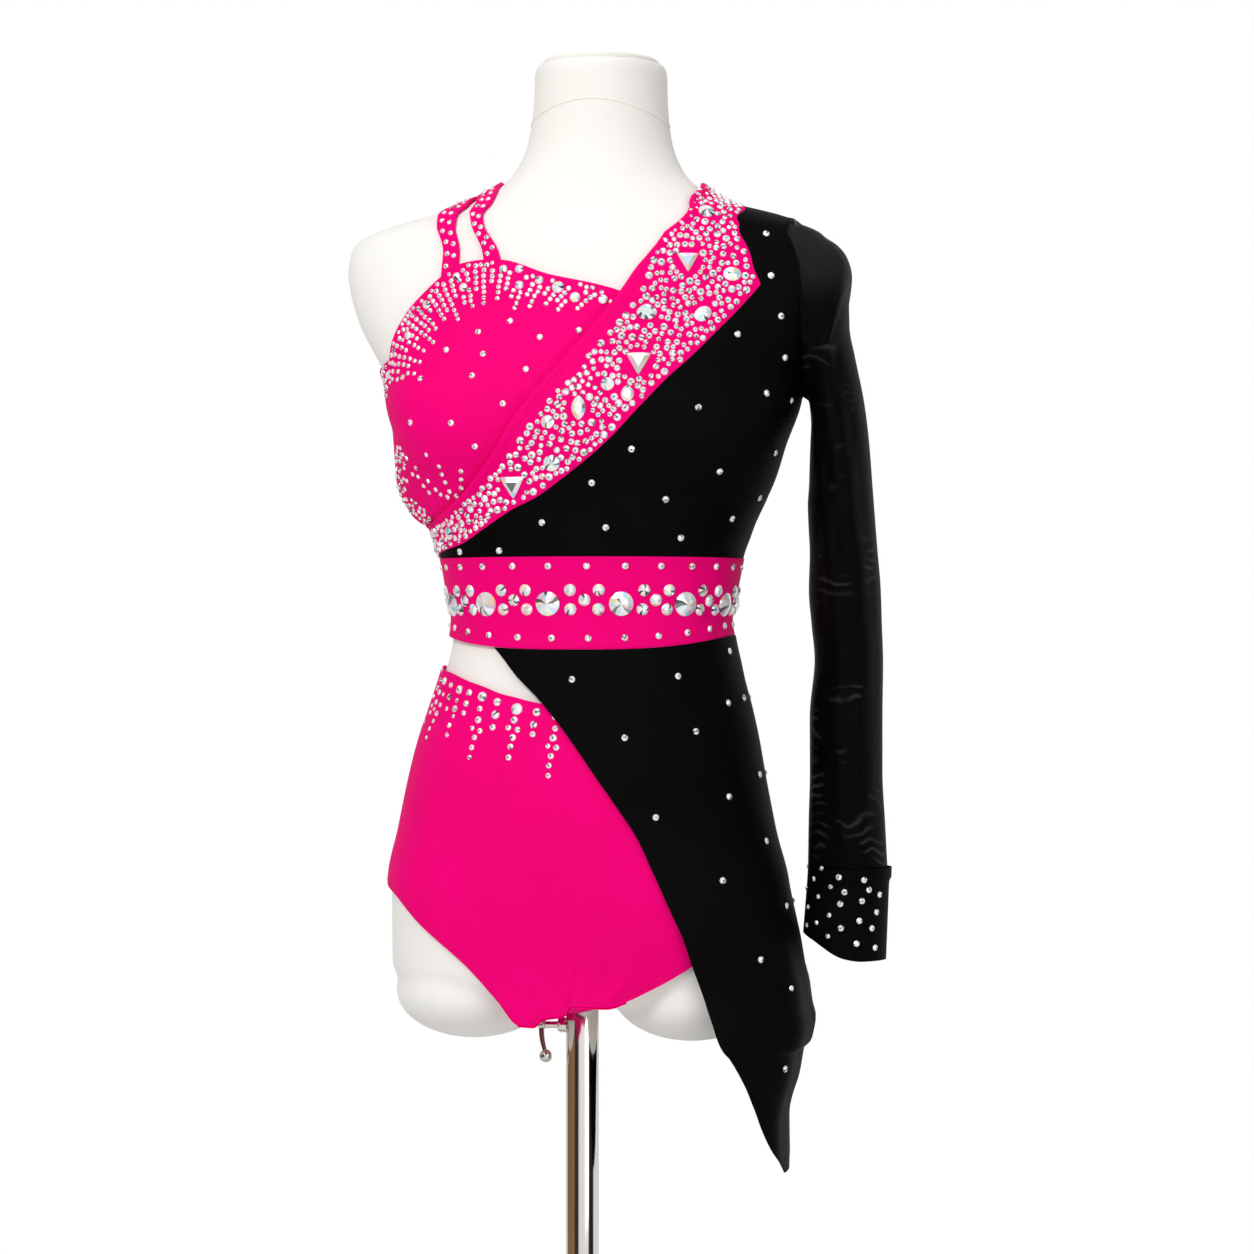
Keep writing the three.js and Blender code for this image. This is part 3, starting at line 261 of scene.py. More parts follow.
OVERLAY_FLARE_ROWS = [
    [570, 22, 22],
    [631, 21, 16],
    [648, 24, 15],
    [667, 30, 14],
    [693, 34.8, 13],
    [706, 39, 12],
    [716, 39, 11],
    [731, 34, 10],
    [787, 21, 8],
    [827, 12.5, 7],
    [859, 9, OVERLAY_OUTER],
    [919, 7.2, OVERLAY_OUTER],
    [955, OVERLAY_OUTER, OVERLAY_OUTER],
    [1100, OVERLAY_OUTER, OVERLAY_OUTER],
]
OVERLAY_FOLD = {"angle": 157 * DEG, "width": 9 * DEG, "height": 6, "top": 840, "full": 700}
SLEEVE_ROWS = [
    [182, 1366, 186.5, 1222, 53],
    [192, 1360.5, 187.5, 1219, 53],
    [202, 1355, 188, 1216, 52],
    [210, 1349.5, 188.4, 1212, 51],
    [217.5, 1340, 188.8, 1206, 50],
    [221.5, 1325, 189, 1198, 49],
    [219, 1305, 188.5, 1188, 47],
    [219.5, 1283, 188, 1177, 46],
    [224.5, 1256, 187.5, 1164, 46],
    [231.5, 1221, 187, 1150, 46],
    [235.5, 1189, 186, 1136, 46],
    [238.5, 1150, 186.6, 1118, 46],
    [242, 1104, 187.6, 1096, 45],
    [245, 1068, 186.8, 1066, 44],
    [246, 1038, 189, 1038, 43],
    [247, 1005, 191.5, 1008, 42],
    [246.5, 962, 187.5, 962, 41],
    [246.5, 917, 187.6, 917, 39],
    [248.5, 878, 186.6, 878, 37],
    [250.5, 840, 186, 840, 35],
]
SLEEVE_FOLD_HEIGHT = 2.4
SLEEVE_FOLDS = 3
SLEEVE_FIRST_FOLDED_RING = 5
SLEEVE_WALL = 0.6
SLEEVE_CLEARANCE = 1.7
CUFF_TOP = 839.4
CUFF_SEAM = 829
CUFF = {"top_inner": 186, "top_outer": 252.5, "hem_inner": 182, "hem_outer": 249.5, "half_depth": 35}
CUFF_HEM_ROWS = [
    [180, 787],
    [191, 781],
    [219, 766],
    [232, 764],
    [253, 764],
]


# Curves and the body's surface

def smooth_curve(knots, values):
    """A smooth curve through its knots that never overshoots them."""
    x = np.array(knots, float)
    y = np.array(values, float)
    if x[0] > x[-1]:
        x = x[::-1]
        y = y[::-1]
    width = np.diff(x)
    secant = np.diff(y) / width
    slope = np.concatenate([secant[:1], np.zeros(len(x) - 2), secant[-1:]])
    before, after = secant[:-1], secant[1:]
    same = before * after > 0
    slope[1:-1] = np.where(same, 2 * before * after / np.where(same, before + after, 1), 0)

    def at(value):
        v = np.clip(np.asarray(value, float), x[0], x[-1])
        i = np.clip(np.searchsorted(x, v, side="right") - 1, 0, len(x) - 2)
        t = (v - x[i]) / width[i]
        cross = 3 * t * t - 2 * t ** 3
        bend = slope[i] * (t ** 3 - 2 * t * t + t) + slope[i + 1] * (t ** 3 - t * t)
        return y[i] + (y[i + 1] - y[i]) * cross + width[i] * bend

    return at


def curves_of(columns, rows):
    knots = [row[0] for row in rows]
    return {name: smooth_curve(knots, [row[k + 1] for row in rows]) for k, name in enumerate(columns[1:])}


def smooth_step(edge, full, value):
    share = np.clip((value - edge) / (full - edge), 0, 1)
    return share * share * (3 - 2 * share)


def mix(a, b, share):
    return a + (b - a) * share


def circle(count):
    return np.arange(count) / count * FULL_TURN


def run_along(points):
    """Distances along a line of points."""
    return np.concatenate([[0], np.cumsum(np.linalg.norm(np.diff(points, axis=0), axis=1))])


def parts(stations):
    """The first and second columns: angles and heights of stations, or u and v of places."""
    return stations[..., 0], stations[..., 1]


BODY = curves_of(BODY_COLUMNS, BODY_ROWS)


def cup_rise(angle, z):
    turn = np.mod(angle, FULL_TURN)
    spread = np.where(z > CUP_HEIGHT, CUP_SPREAD_UP, CUP_SPREAD_DOWN)
    rise = CUP_RISE * np.exp(-((z - CUP_HEIGHT) / spread) ** 2)
    return sum(rise * np.exp(-((turn - cup) / CUP_SPREAD_ANGLE) ** 2) for cup in CUP_ANGLES)


def skin_point(angle, z):
    angle, z = np.broadcast_arrays(np.asarray(angle, float), np.asarray(z, float))
    across = np.cos(angle)
    along = np.sin(angle)
    depth = np.where(along > 0, BODY["front"](z), BODY["back"](z))
    fullness = BODY["fullness"](z)
    rise = cup_rise(angle, z)
    x = across * (BODY["half_width"](z) * (1 + fullness * along ** 2) + rise)
    y = along * (depth * (1 + fullness * across ** 2) + rise)
    return np.stack([BODY["centre_x"](z) - x, -y, z], axis=-1)


def body_normal(angle, z):
    turn = 0.01
    angle = np.asarray(angle, float)
    z = np.asarray(z, float)
    around = skin_point(angle + turn, z) - skin_point(angle - turn, z)
    upward = skin_point(angle, z + 1) - skin_point(angle, z - 1)
    normal = np.cross(around, upward)
    return normal / np.linalg.norm(normal, axis=-1, keepdims=True)


def body_point(angle, z, lift):
    lift = np.asarray(lift, float)
    return skin_point(angle, z) + body_normal(angle, z) * lift[..., None]


def skin_distance(point):
    z = point[..., 2]
    x = BODY["centre_x"](z) - point[..., 0]
    depth = np.where(point[..., 1] < 0, BODY["front"](z), BODY["back"](z))
    angle = np.arctan2(-point[..., 1] / depth, x / BODY["half_width"](z))
    return ((point - skin_point(angle, z)) * body_normal(angle, z)).sum(axis=-1)


def seen_at(point):
    """Where a point is seen on the measuring plane."""
    depth = VIEW_DISTANCE - point[..., 0] * math.sin(VIEW_YAW) + point[..., 1] * math.cos(VIEW_YAW)
    scale = VIEW_DISTANCE / depth
    u = (point[..., 0] * math.cos(VIEW_YAW) + point[..., 1] * math.sin(VIEW_YAW)) * scale
    return u, EYE_HEIGHT + (point[..., 2] - EYE_HEIGHT) * scale, scale


def cloth_lift(angle, z):
    return np.full(np.broadcast(angle, z).shape, CLOTH_OUTER, float)


top_fullness = smooth_curve(*zip(*TOP_FULLNESS_ROWS))


def top_lift(angle, z):
    """The cup's cloth stands off the form at the wearer's right side."""
    aside = np.abs(np.arctan2(np.sin(angle), np.cos(angle)))
    return CLOTH_OUTER + top_fullness(z) * (1 - smooth_step(TOP_FULLNESS_FROM, TOP_FULLNESS_TO, aside))


def angle_seen_at(u, z, lift_at):
    """The angle at which a level section is seen at u, between the right outline and the left side."""
    def seen(angle):
        return seen_at(body_point(angle, z, lift_at(angle, z)))[0]

    step = 3 * DEG
    high = np.full(u.shape, LEFT_SIDE)
    inside = seen(high) >= u
    going = inside.copy()
    for _ in range(60):
        going = going & (high > step) & (seen(high - step) >= u)
        if not going.any():
            break
        high = np.where(going, high - step, high)
    low = np.maximum(high - step, RIGHT_SIDE)
    for _ in range(20):
        middle = (low + high) / 2
        left = seen(middle) < u
        low = np.where(left, middle, low)
        high = np.where(left, high, middle)
    return np.where(inside, high, LEFT_SIDE)


def front_stations(u, v, lift_at=cloth_lift):
    """Stations on the front, as rows of angle and height, where measured points lie."""
    u = np.asarray(u, float)
    v = np.asarray(v, float)
    z = v.copy()
    for _ in range(4):
        angle = angle_seen_at(u, z, lift_at)
        scale = seen_at(body_point(angle, z, lift_at(angle, z)))[2]
        z = EYE_HEIGHT + (v - EYE_HEIGHT) / scale
    return np.stack([angle, z], axis=-1)


def back_stations(x, z):
    x = np.asarray(x, float)
    z = np.asarray(z, float)
    low = np.full(x.shape, LEFT_SIDE)
    high = np.full(x.shape, FULL_TURN)
    for _ in range(24):
        middle = (low + high) / 2
        before = skin_point(middle, z)[..., 0] > x
        low = np.where(before, middle, low)
        high = np.where(before, high, middle)
    return np.stack([low, z], axis=-1)


def shoulder_station(x, y):
    """The station on a shoulder straight above a level point in front of its crest."""
    def across(z):
        return float((BODY["centre_x"](z) - x) / BODY["half_width"](z))

    def along(z):
        return float(abs(y) / BODY["front"](z))

    low = SHOULDER_WIDEST
    high = FORM_TOP
    for _ in range(24):
        middle = (low + high) / 2
        if math.hypot(across(middle), along(middle)) < 1:
            low = middle
        else:
            high = middle
    return [math.atan2(along(low), across(low)), low]


def crest_station(x):
    return shoulder_station(x, 0)


def to_back(stations):
    turned = np.array(stations, float)
    turned[..., 0] = FULL_TURN - turned[..., 0]
    return turned


def fine_line(knots, steps, corners=()):
    """A smooth line of stations through knots, with sharp corners where they are named."""
    knots = np.array(knots, float)
    breaks = [0, *corners, len(knots) - 1]
    stretches = []
    for first, last in zip(breaks[:-1], breaks[1:]):
        at = np.arange((last - first) * steps + 1) / steps
        index = np.arange(last - first + 1)
        part = knots[first:last + 1]
        if last - first > 1:
            part = np.stack([smooth_curve(index, part[:, k])(at) for k in (0, 1)], axis=-1)
        else:
            part = part[0] + (part[1] - part[0]) * at[:, None]
        stretches.append(part if not stretches else part[1:])
    return np.concatenate(stretches)


def grid_between(left, right, columns, first_row=None):
    """Rows of stations from the left seam to the right one. A shaped first row fades out down the piece."""
    share = np.linspace(0, 1, columns + 1)[None, :, None]
    grid = left[:, None, :] + (right - left)[:, None, :] * share
    if first_row is not None:
        fade = (1 - np.linspace(0, 1, len(left)))[:, None, None] ** 2
        grid = grid + (first_row - grid[0])[None] * fade
    return grid


# Meshes and pieces

def new_object(name, points, faces, sharp=None, material=None):
    """An object from points in millimetres: smooth but for edges past a sharp angle, or else flat."""
    mesh = bpy.data.meshes.new(name)
    mesh.from_pydata((np.asarray(points) * MM).tolist(), [], faces)
    mesh.update()
    if sharp is None:
        mesh.shade_flat()
    else:
        mesh.shade_smooth()
        mesh.set_sharp_from_angle(angle=sharp * DEG)
    if material:
        mesh.materials.append(material)
    piece = bpy.data.objects.new(name, mesh)
    bpy.context.collection.objects.link(piece)
    return piece


def wall_faces(rows, columns, wrapped):
    """Faces of a closed wall between an outer grid and an inner one of the same size."""
    steps = columns if wrapped else columns - 1
    i, j = np.meshgrid(np.arange(rows - 1), np.arange(steps), indexing="ij")
    k = (j + 1) % columns
    outer = np.stack([i * columns + j, i * columns + k, (i + 1) * columns + k, (i + 1) * columns + j], -1)
    shift = rows * columns
    inner = outer[..., ::-1] + shift
    faces = [outer.reshape(-1, 4), inner.reshape(-1, 4)]
    for row in (0, rows - 1):
        j = np.arange(steps)
        a = row * columns + j
        b = row * columns + (j + 1) % columns
        rim = np.stack([a, a + shift, b + shift, b], -1)
        faces.append(rim if row == 0 else rim[:, ::-1])
    if not wrapped:
        for column in (0, columns - 1):
            i = np.arange(rows - 1)
            a = i * columns + column
            b = (i + 1) * columns + column
            rim = np.stack([a, b, b + shift, a + shift], -1)
            faces.append(rim if column == 0 else rim[:, ::-1])
    return np.concatenate(faces)


def grid_uv(points):
    """Distances in millimetres along the rows and down the columns, for the knit."""
    along = np.zeros(points.shape[:2])
    down = np.zeros(points.shape[:2])
    along[:, 1:] = np.cumsum(np.linalg.norm(np.diff(points, axis=1), axis=-1), axis=1)
    down[1:] = np.cumsum(np.linalg.norm(np.diff(points, axis=0), axis=-1), axis=0)
    return np.stack([along - along.mean(axis=1, keepdims=True), down], axis=-1).reshape(-1, 2)


def face_outwards(piece):
    mesh = bmesh.new()
    mesh.from_mesh(piece.data)
    bmesh.ops.recalc_face_normals(mesh, faces=mesh.faces)
    mesh.to_mesh(piece.data)
    mesh.free()


def wall_piece(name, outer, inner, wrapped, material, sharp=50):
    """A closed wall between two grids of points, with the knit's lengths as its map."""
    rows, columns = outer.shape[:2]
    points = np.concatenate([outer.reshape(-1, 3), inner.reshape(-1, 3)])
    piece = new_object(name, points, wall_faces(rows, columns, wrapped).tolist(), sharp)
    uv = grid_uv(outer)
    layer = piece.data.uv_layers.new(name="UVMap")
    corner = np.empty(len(piece.data.loops), dtype=np.int32)
    piece.data.loops.foreach_get("vertex_index", corner)
    layer.data.foreach_set("uv", np.concatenate([uv, uv])[corner].ravel())
    face_outwards(piece)
    piece.data.materials.append(material)
    return piece


def body_wall(name, grid, outer_lift, inner_lift, material):
    """A cloth wall over a grid of stations. The lifts are numbers or arrays over the grid."""
    angle, z = parts(grid)
    shape = angle.shape
    outer = body_point(angle, z, np.broadcast_to(outer_lift, shape))
    inner = body_point(angle, z, np.broadcast_to(inner_lift, shape))
    return wall_piece(name, outer, inner, False, material)


def hem_share(shape, rows_of_hem, columns_of_hem, sides):
    """1 on the named borders of a grid, falling to 0 a few rows or columns in."""
    rows, columns = shape
    down = np.arange(rows)[:, None]
    along = np.arange(columns)[None, :]
    far = np.full(shape, 99.0)
    if "top" in sides:
        far = np.minimum(far, down / rows_of_hem)
    if "bottom" in sides:
        far = np.minimum(far, (rows - 1 - down) / rows_of_hem)
    if "left" in sides:
        far = np.minimum(far, along / columns_of_hem)
    if "right" in sides:
        far = np.minimum(far, (columns - 1 - along) / columns_of_hem)
    return 1 - smooth_step(0.4, 1, far)


def crease_lift(u, v, rows):
    """Soft troughs and ridges along curved lines: from, bend and to places, width, depth and sign."""
    total = np.zeros(u.shape)
    for from_u, from_v, to_u, to_v, bend, width, depth in rows:
        length = math.hypot(to_u - from_u, to_v - from_v)
        along_u, along_v = (to_u - from_u) / length, (to_v - from_v) / length
        s = ((u - from_u) * along_u + (v - from_v) * along_v) / length
        aside = (v - from_v) * along_u - (u - from_u) * along_v
        aside = aside - bend * 4 * s * (1 - s)
        end = smooth_step(-0.08, 0.25, s) * smooth_step(1.08, 0.7, s)
        uneven = 0.8 + 0.2 * np.sin(9 * s + from_u)
        profile = np.exp(-(aside / width) ** 2) - 0.35 * np.exp(-(aside / (2.2 * width)) ** 2)
        total = total + depth * end * uneven * profile
    return total


def level_ring(x, y, z, half_width, half_depth, count):
    turn = circle(count)
    height = np.full(count, float(z))
    return np.stack([x + half_width * np.cos(turn), y + half_depth * np.sin(turn), height], -1)


def globe_rings(x, y, z, half_width, half_depth, half_height, steps, count):
    """Level rings of a ball or an egg, without its poles."""
    rings = []
    for step in range(1, steps):
        rise = -math.cos(step / steps * math.pi)
        reach = math.sqrt(1 - rise * rise)
        rings.append(level_ring(x, y, z + half_height * rise, half_width * reach, half_depth * reach, count))
    return rings


def ring_loft(name, rings, material=None, sharp=35):
    """A solid through a stack of rings of points, closed at both ends."""
    rings = np.asarray(rings)
    rows, count = rings.shape[:2]
    i, j = np.meshgrid(np.arange(rows - 1), np.arange(count), indexing="ij")
    k = (j + 1) % count
    faces = np.stack([i * count + j, i * count + k, (i + 1) * count + k, (i + 1) * count + j], -1)
    faces = faces.reshape(-1, 4).tolist()
    faces.append(list(range(count))[::-1])
    faces.append([(rows - 1) * count + n for n in range(count)])
    piece = new_object(name, rings.reshape(-1, 3), faces, sharp, material)
    face_outwards(piece)
    return piece


def lathe(name, profile, count, material=None):
    """A body of revolution about the pole's axis."""
    return ring_loft(name, [level_ring(0, 0, z, radius, radius, count) for radius, z in profile], material)


def joined(name, pieces):
    """Several objects as one."""
    with bpy.context.temp_override(active_object=pieces[0], selected_editable_objects=pieces):
        bpy.ops.object.join()
    pieces[0].name = name
    pieces[0].data.name = name
    return pieces[0]


def with_modifiers_applied(piece):
    graph = bpy.context.evaluated_depsgraph_get()
    made = bpy.data.meshes.new_from_object(piece.evaluated_get(graph))
    piece.modifiers.clear()
    piece.data = made
    return piece


def finish_piece(piece, body, slot, *nodes):
    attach(piece, body)
    if nodes:
        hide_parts(*nodes)
    return piece


def worn_cloth(node, grid, outer_lift, inner_lift, material, name=None):
    """A pink or black cloth wall on the body that stands for a node."""
    piece = body_wall(name or node + "_cloth", grid, outer_lift, inner_lift, material)
    return finish_piece(piece, "form", "black_fabric" if material == BLACK else "pink_fabric", node)


# Materials

class Nodes:
    """A material's or the world's node tree with short calls for nodes and links."""

    def __init__(self, name, kind=bpy.data.materials):
        self.owner = kind.new(name)
        self.owner.use_nodes = True
        self.tree = self.owner.node_tree
        self.shader = self.tree.nodes.get("Principled BSDF")

    def node(self, kind, **settings):
        made = self.tree.nodes.new(kind)
        for key, value in settings.items():
            setattr(made, key, value)
        return made

    def link(self, source, target):
        self.tree.links.new(source, target)

    def where(self):
        """Places in the object's own axes, in metres."""
        return self.node("ShaderNodeTexCoord").outputs["Object"]

    def colour(self, value, stops):
        self.link(self.ramp(value, stops), self.shader.inputs["Base Color"])

    def put(self, **values):
        for key, value in values.items():
            self.shader.inputs[key.replace("_", " ")].default_value = value

    def noise(self, coordinates, scale, detail=2.0, roughness=0.5):
        made = self.node("ShaderNodeTexNoise")
        made.inputs["Scale"].default_value = scale
        made.inputs["Detail"].default_value = detail
        made.inputs["Roughness"].default_value = roughness
        self.link(coordinates, made.inputs["Vector"])
        return made.outputs["Fac"]

    def ramp(self, value, stops):
        made = self.node("ShaderNodeValToRGB")
        elements = made.color_ramp.elements
        while len(elements) < len(stops):
            elements.new(0.5)
        for element, (place, colour) in zip(elements, stops):
            element.position = place
            element.color = (*colour, 1)
        self.link(value, made.inputs["Fac"])
        return made.outputs["Color"]

    def math(self, operation, first, second=None):
        made = self.node("ShaderNodeMath", operation=operation)
        for socket, value in zip(made.inputs, (first, second)):
            if value is None:
                continue
            if isinstance(value, (int, float)):
                socket.default_value = value
            else:
                self.link(value, socket)
        return made.outputs["Value"]

    def plus(self, first, second):
        return self.math("ADD", first, second)

    def times(self, first, second):
        return self.math("MULTIPLY", first, second)

    def bump(self, height, strength, distance):
        made = self.node("ShaderNodeBump")
        made.inputs["Strength"].default_value = strength
        made.inputs["Distance"].default_value = distance
        self.link(height, made.inputs["Height"])
        self.link(made.outputs["Normal"], self.shader.inputs["Normal"])


def knit_height(nodes, wale, course):
    """Fine columns of knit loops over the cloth's own lengths in millimetres."""
    uv = nodes.node("ShaderNodeUVMap")
    split = nodes.node("ShaderNodeSeparateXYZ")
    nodes.link(uv.outputs["UV"], split.inputs["Vector"])
    across = nodes.math("SINE", nodes.times(split.outputs["X"], FULL_TURN / wale))
    down = nodes.math("SINE", nodes.times(split.outputs["Y"], FULL_TURN / course))
    return nodes.plus(across, nodes.times(down, 0.6))


def stretch_fabric(name, dark, light, roughness, sheen, gloss, bump):
    nodes = Nodes(name)
    where = nodes.where()
    broad = nodes.noise(where, 14, 3)
    fine = nodes.noise(where, 420, 2)
    tone = nodes.plus(nodes.times(broad, 0.7), nodes.times(fine, 0.3))
    nodes.colour(tone, [(0.3, dark), (0.7, light)])
    nodes.put(Roughness=roughness, Sheen_Weight=sheen, Sheen_Roughness=0.4, Specular_IOR_Level=gloss)
    height = nodes.plus(knit_height(nodes, 0.9, 1.1), nodes.times(fine, 1.5))
    nodes.bump(height, bump, 0.00012)
    return nodes.owner


def mesh_fabric():
    """Fine net, thinner to look through at the sleeve's head, with faint bars of highlight painted into its
    colour lower down.
    """
    nodes = Nodes("black_mesh")
    where = nodes.where()
    height = knit_height(nodes, 2.1, 2.6)
    place = nodes.node("ShaderNodeSeparateXYZ")
    nodes.link(where, place.inputs["Vector"])
    wander = nodes.times(nodes.noise(where, 26, 2), 0.035)
    warped = nodes.plus(place.outputs["Z"], wander)
    wave = nodes.math("SINE", nodes.times(warped, 330))
    bars = nodes.math("POWER", nodes.math("ABSOLUTE", wave), 9)
    patches = nodes.math("MAXIMUM", nodes.math("SUBTRACT", nodes.noise(where, 22, 2), 0.55), 0.0)
    below = nodes.math("LESS_THAN", place.outputs["Z"], 1.265)
    # Painted highlight: faint lighter bars, in patches, below the sleeve's head, standing in for the net's
    # moiré and glints.
    painted_shine = nodes.times(nodes.times(bars, patches), nodes.times(below, 3.2))
    nodes.colour(painted_shine, [(0.0, (0.0015, 0.0015, 0.002)), (0.5, (0.035, 0.036, 0.04))])
    nodes.put(Roughness=0.5, Sheen_Weight=0.0, Specular_IOR_Level=0.03)
    head = nodes.node("ShaderNodeMapRange", interpolation_type="SMOOTHSTEP")
    head.inputs["From Min"].default_value = 1.262
    head.inputs["From Max"].default_value = 1.33
    nodes.link(place.outputs["Z"], head.inputs["Value"])
    thinness = nodes.plus(nodes.times(head.outputs["Result"], 0.33), 0.02)
    gap = nodes.math("MAXIMUM", nodes.math("SUBTRACT", height, 0.9), 0.0)
    hole = nodes.times(gap, thinness)
    cover = nodes.math("SUBTRACT", nodes.math("SUBTRACT", 1.0, thinness), hole)
    nodes.link(cover, nodes.shader.inputs["Alpha"])
    nodes.bump(height, 0.35, 0.00015)
    return nodes.owner


def crystal():
    nodes = Nodes("crystal")
    painted_facet_glint = nodes.node("ShaderNodeAttribute", attribute_name="painted_facet_glint").outputs["Fac"]
    # Painted reflections: the ramp gives the stones' facets dark, grey, white and pastel colours in place of
    # what they reflect and their colour fire.
    nodes.colour(painted_facet_glint, [
        (0.0, (0.03, 0.03, 0.04)),
        (0.1, (0.22, 0.22, 0.25)),
        (0.2, (0.8, 0.8, 0.84)),
        (0.45, (0.97, 0.97, 0.98)),
        (0.6, (0.45, 0.76, 0.95)),
        (0.7, (0.95, 0.95, 1.0)),
        (0.8, (1.0, 0.85, 0.42)),
        (0.88, (0.9, 0.55, 0.85)),
        (0.94, (0.5, 0.9, 0.7)),
        (1.0, (1.0, 1.0, 1.0)),
    ])
    nodes.put(Metallic=0.3, Roughness=0.12, Coat_Weight=0.3, Coat_Roughness=0.02)
    return nodes.owner


def jersey_cover():
    nodes = Nodes("form_cover")
    where = nodes.where()
    broad = nodes.noise(where, 9, 3)
    fine = nodes.noise(where, 900, 2)
    nodes.colour(broad, [(0.3, (0.83, 0.815, 0.775)), (0.7, (0.865, 0.85, 0.82))])
    nodes.put(Roughness=0.85, Sheen_Weight=0.2, Sheen_Roughness=0.5, Specular_IOR_Level=0.25)
    nodes.bump(fine, 0.25, 0.0002)
    return nodes.owner


def polished_metal(name, dark, light, roughness, streaks):
    nodes = Nodes(name)
    where = nodes.where()
    stretched = nodes.node("ShaderNodeMapping")
    stretched.inputs["Scale"].default_value = streaks
    nodes.link(where, stretched.inputs["Vector"])
    marks = nodes.noise(stretched.outputs["Vector"], 40, 4, 0.6)
    nodes.colour(marks, [(0.35, dark), (0.65, light)])
    rough = nodes.plus(nodes.times(marks, 0.08), roughness)
    nodes.link(rough, nodes.shader.inputs["Roughness"])
    nodes.put(Metallic=1.0)
    nodes.bump(marks, 0.05, 0.0002)
    return nodes.owner


def grip_plastic():
    nodes = Nodes("lever_grip")
    where = nodes.where()
    marks = nodes.noise(where, 300, 3)
    nodes.colour(marks, [(0.3, (0.09, 0.004, 0.006)), (0.7, (0.17, 0.01, 0.014))])
    nodes.put(Roughness=0.3)
    nodes.bump(marks, 0.1, 0.0002)
    return nodes.owner


PINK = stretch_fabric("pink_fabric", (0.80, 0.0, 0.16), (0.87, 0.0, 0.185), 0.62, 0.01, 0.03, 0.3)
STITCH_PINK = stretch_fabric("pink_thread", (0.5, 0.0, 0.09), (0.6, 0.0, 0.12), 0.5, 0.05, 0.2, 0.5)
BLACK_DARK, BLACK_LIGHT = (0.0008, 0.0008, 0.001), (0.0022, 0.0022, 0.0026)
BLACK = stretch_fabric("black_fabric", BLACK_DARK, BLACK_LIGHT, 0.6, 0.0, 0.035, 0.3)
MESH = mesh_fabric()
CRYSTAL = crystal()
COVER = jersey_cover()
CHROME = polished_metal("chrome", (0.60, 0.57, 0.54), (0.80, 0.78, 0.76), 0.06, (3, 3, 0.05))
BASE_METAL = polished_metal("base_metal", (0.42, 0.42, 0.43), (0.62, 0.62, 0.63), 0.28, (1, 1, 1))
GRIP = grip_plastic()


# Dress form

FORM_SEGMENTS = 96
FORM_BOTTOM_STEPS = [[CROTCH, 0.5], [727, 0.66], [731.5, 0.79], [737.5, 0.9], [746, 0.975]]
NECK_EDGE_STEPS = [[1493, 1], [1496.5, 0.994], [1499.2, 0.975], [1500.6, 0.945], [FORM_TOP, 0.9]]
CAP_STEPS = [[FORM_TOP + 0.1, 0.86], [FORM_TOP + 2.2, 0.87], [FORM_TOP + 3.6, 0.85], [FORM_TOP + 4, 0.8]]
SOCKET_RADIUS = 12.6


def skin_ring(z, scale=1.0, count=FORM_SEGMENTS):
    angle = circle(count)
    centre = np.array([float(BODY["centre_x"](z)), 0, z])
    return centre + (skin_point(angle, np.full(count, float(z))) - centre) * scale


def torso():
    heights = np.arange(756, 1491, 6)
    rings = [skin_ring(z, s) for z, s in FORM_BOTTOM_STEPS]
    rings += [skin_ring(z) for z in heights]
    rings += [skin_ring(z, s) for z, s in NECK_EDGE_STEPS]
    body = ring_loft("form_torso_cover", rings, COVER)
    sides = []
    for side in (-1, 1):
        rings = globe_rings(side * THIGH["centre_x"], THIGH["centre_y"], THIGH["centre_z"],
                            THIGH["half_width"], THIGH["half_depth"], THIGH["drop"], 24, 48)
        sides.append(ring_loft("thigh", rings, COVER))
    body = joined("form_torso_cover", [body, *sides])
    remesh = body.modifiers.new("even", "REMESH")
    remesh.mode = "VOXEL"
    remesh.voxel_size = 0.0042
    remesh.use_smooth_shade = True
    soft = body.modifiers.new("soft", "SMOOTH")
    soft.iterations = 3
    soft.factor = 0.5
    with_modifiers_applied(body)
    bore = lathe("bore", [[SOCKET_RADIUS, CROTCH - 60], [SOCKET_RADIUS, 991]], 64)
    cut = body.modifiers.new("socket", "BOOLEAN")
    cut.object = bore
    cut.operation = "DIFFERENCE"
    cut.solver = "MANIFOLD"
    with_modifiers_applied(body)
    bpy.data.objects.remove(bore)
    body.data.materials.clear()
    body.data.materials.append(COVER)
    body.data.shade_smooth()
    body.data.set_sharp_from_angle(angle=60 * DEG)
    return finish_piece(body, "form", "form_cover", "form_torso")


def neck_cap():
    cap = ring_loft("neck_cap_cover", [skin_ring(z, s) for z, s in CAP_STEPS], COVER)
    return finish_piece(cap, "form", "form_cover", "neck_cap")


def tube_along(name, points, normals, half_width, half_height, material, sections=6):
    """A flattened cord along a line on a surface."""
    points = np.asarray(points, float)
    ahead = np.gradient(points, axis=0)
    ahead /= np.linalg.norm(ahead, axis=-1, keepdims=True)
    aside = np.cross(ahead, normals)
    aside /= np.linalg.norm(aside, axis=-1, keepdims=True)
    rings = []
    turn = circle(sections)
    for point, side, normal in zip(points, aside, normals):
        rings.append(point + side * (half_width * np.cos(turn))[:, None]
                     + normal * (half_height * np.sin(turn))[:, None])
    return ring_loft(name, rings, material)


def form_seams():
    """The cover's sewn lines: round the neck's foot and down its right side over the shoulder."""
    angle = np.linspace(0, FULL_TURN, 97)
    z = 1451 + 15 * np.clip(np.sin(angle), 0, 1) ** 2
    neck = body_point(angle, z, np.full(97, 0.15))
    ring = tube_along("neck_seam", neck, body_normal(angle, z), 0.9, 0.45, COVER)
    x = np.linspace(-64, -190, 40)
    crest = np.array([crest_station(value) for value in x])
    line = body_point(*parts(crest), np.full(40, 0.1))
    shoulder = tube_along("shoulder_seam", line, body_normal(*parts(crest)), 0.8, 0.35, COVER)
    return finish_piece(joined("form_seams", [ring, shoulder]), "form", "form_cover")


# Pole stand

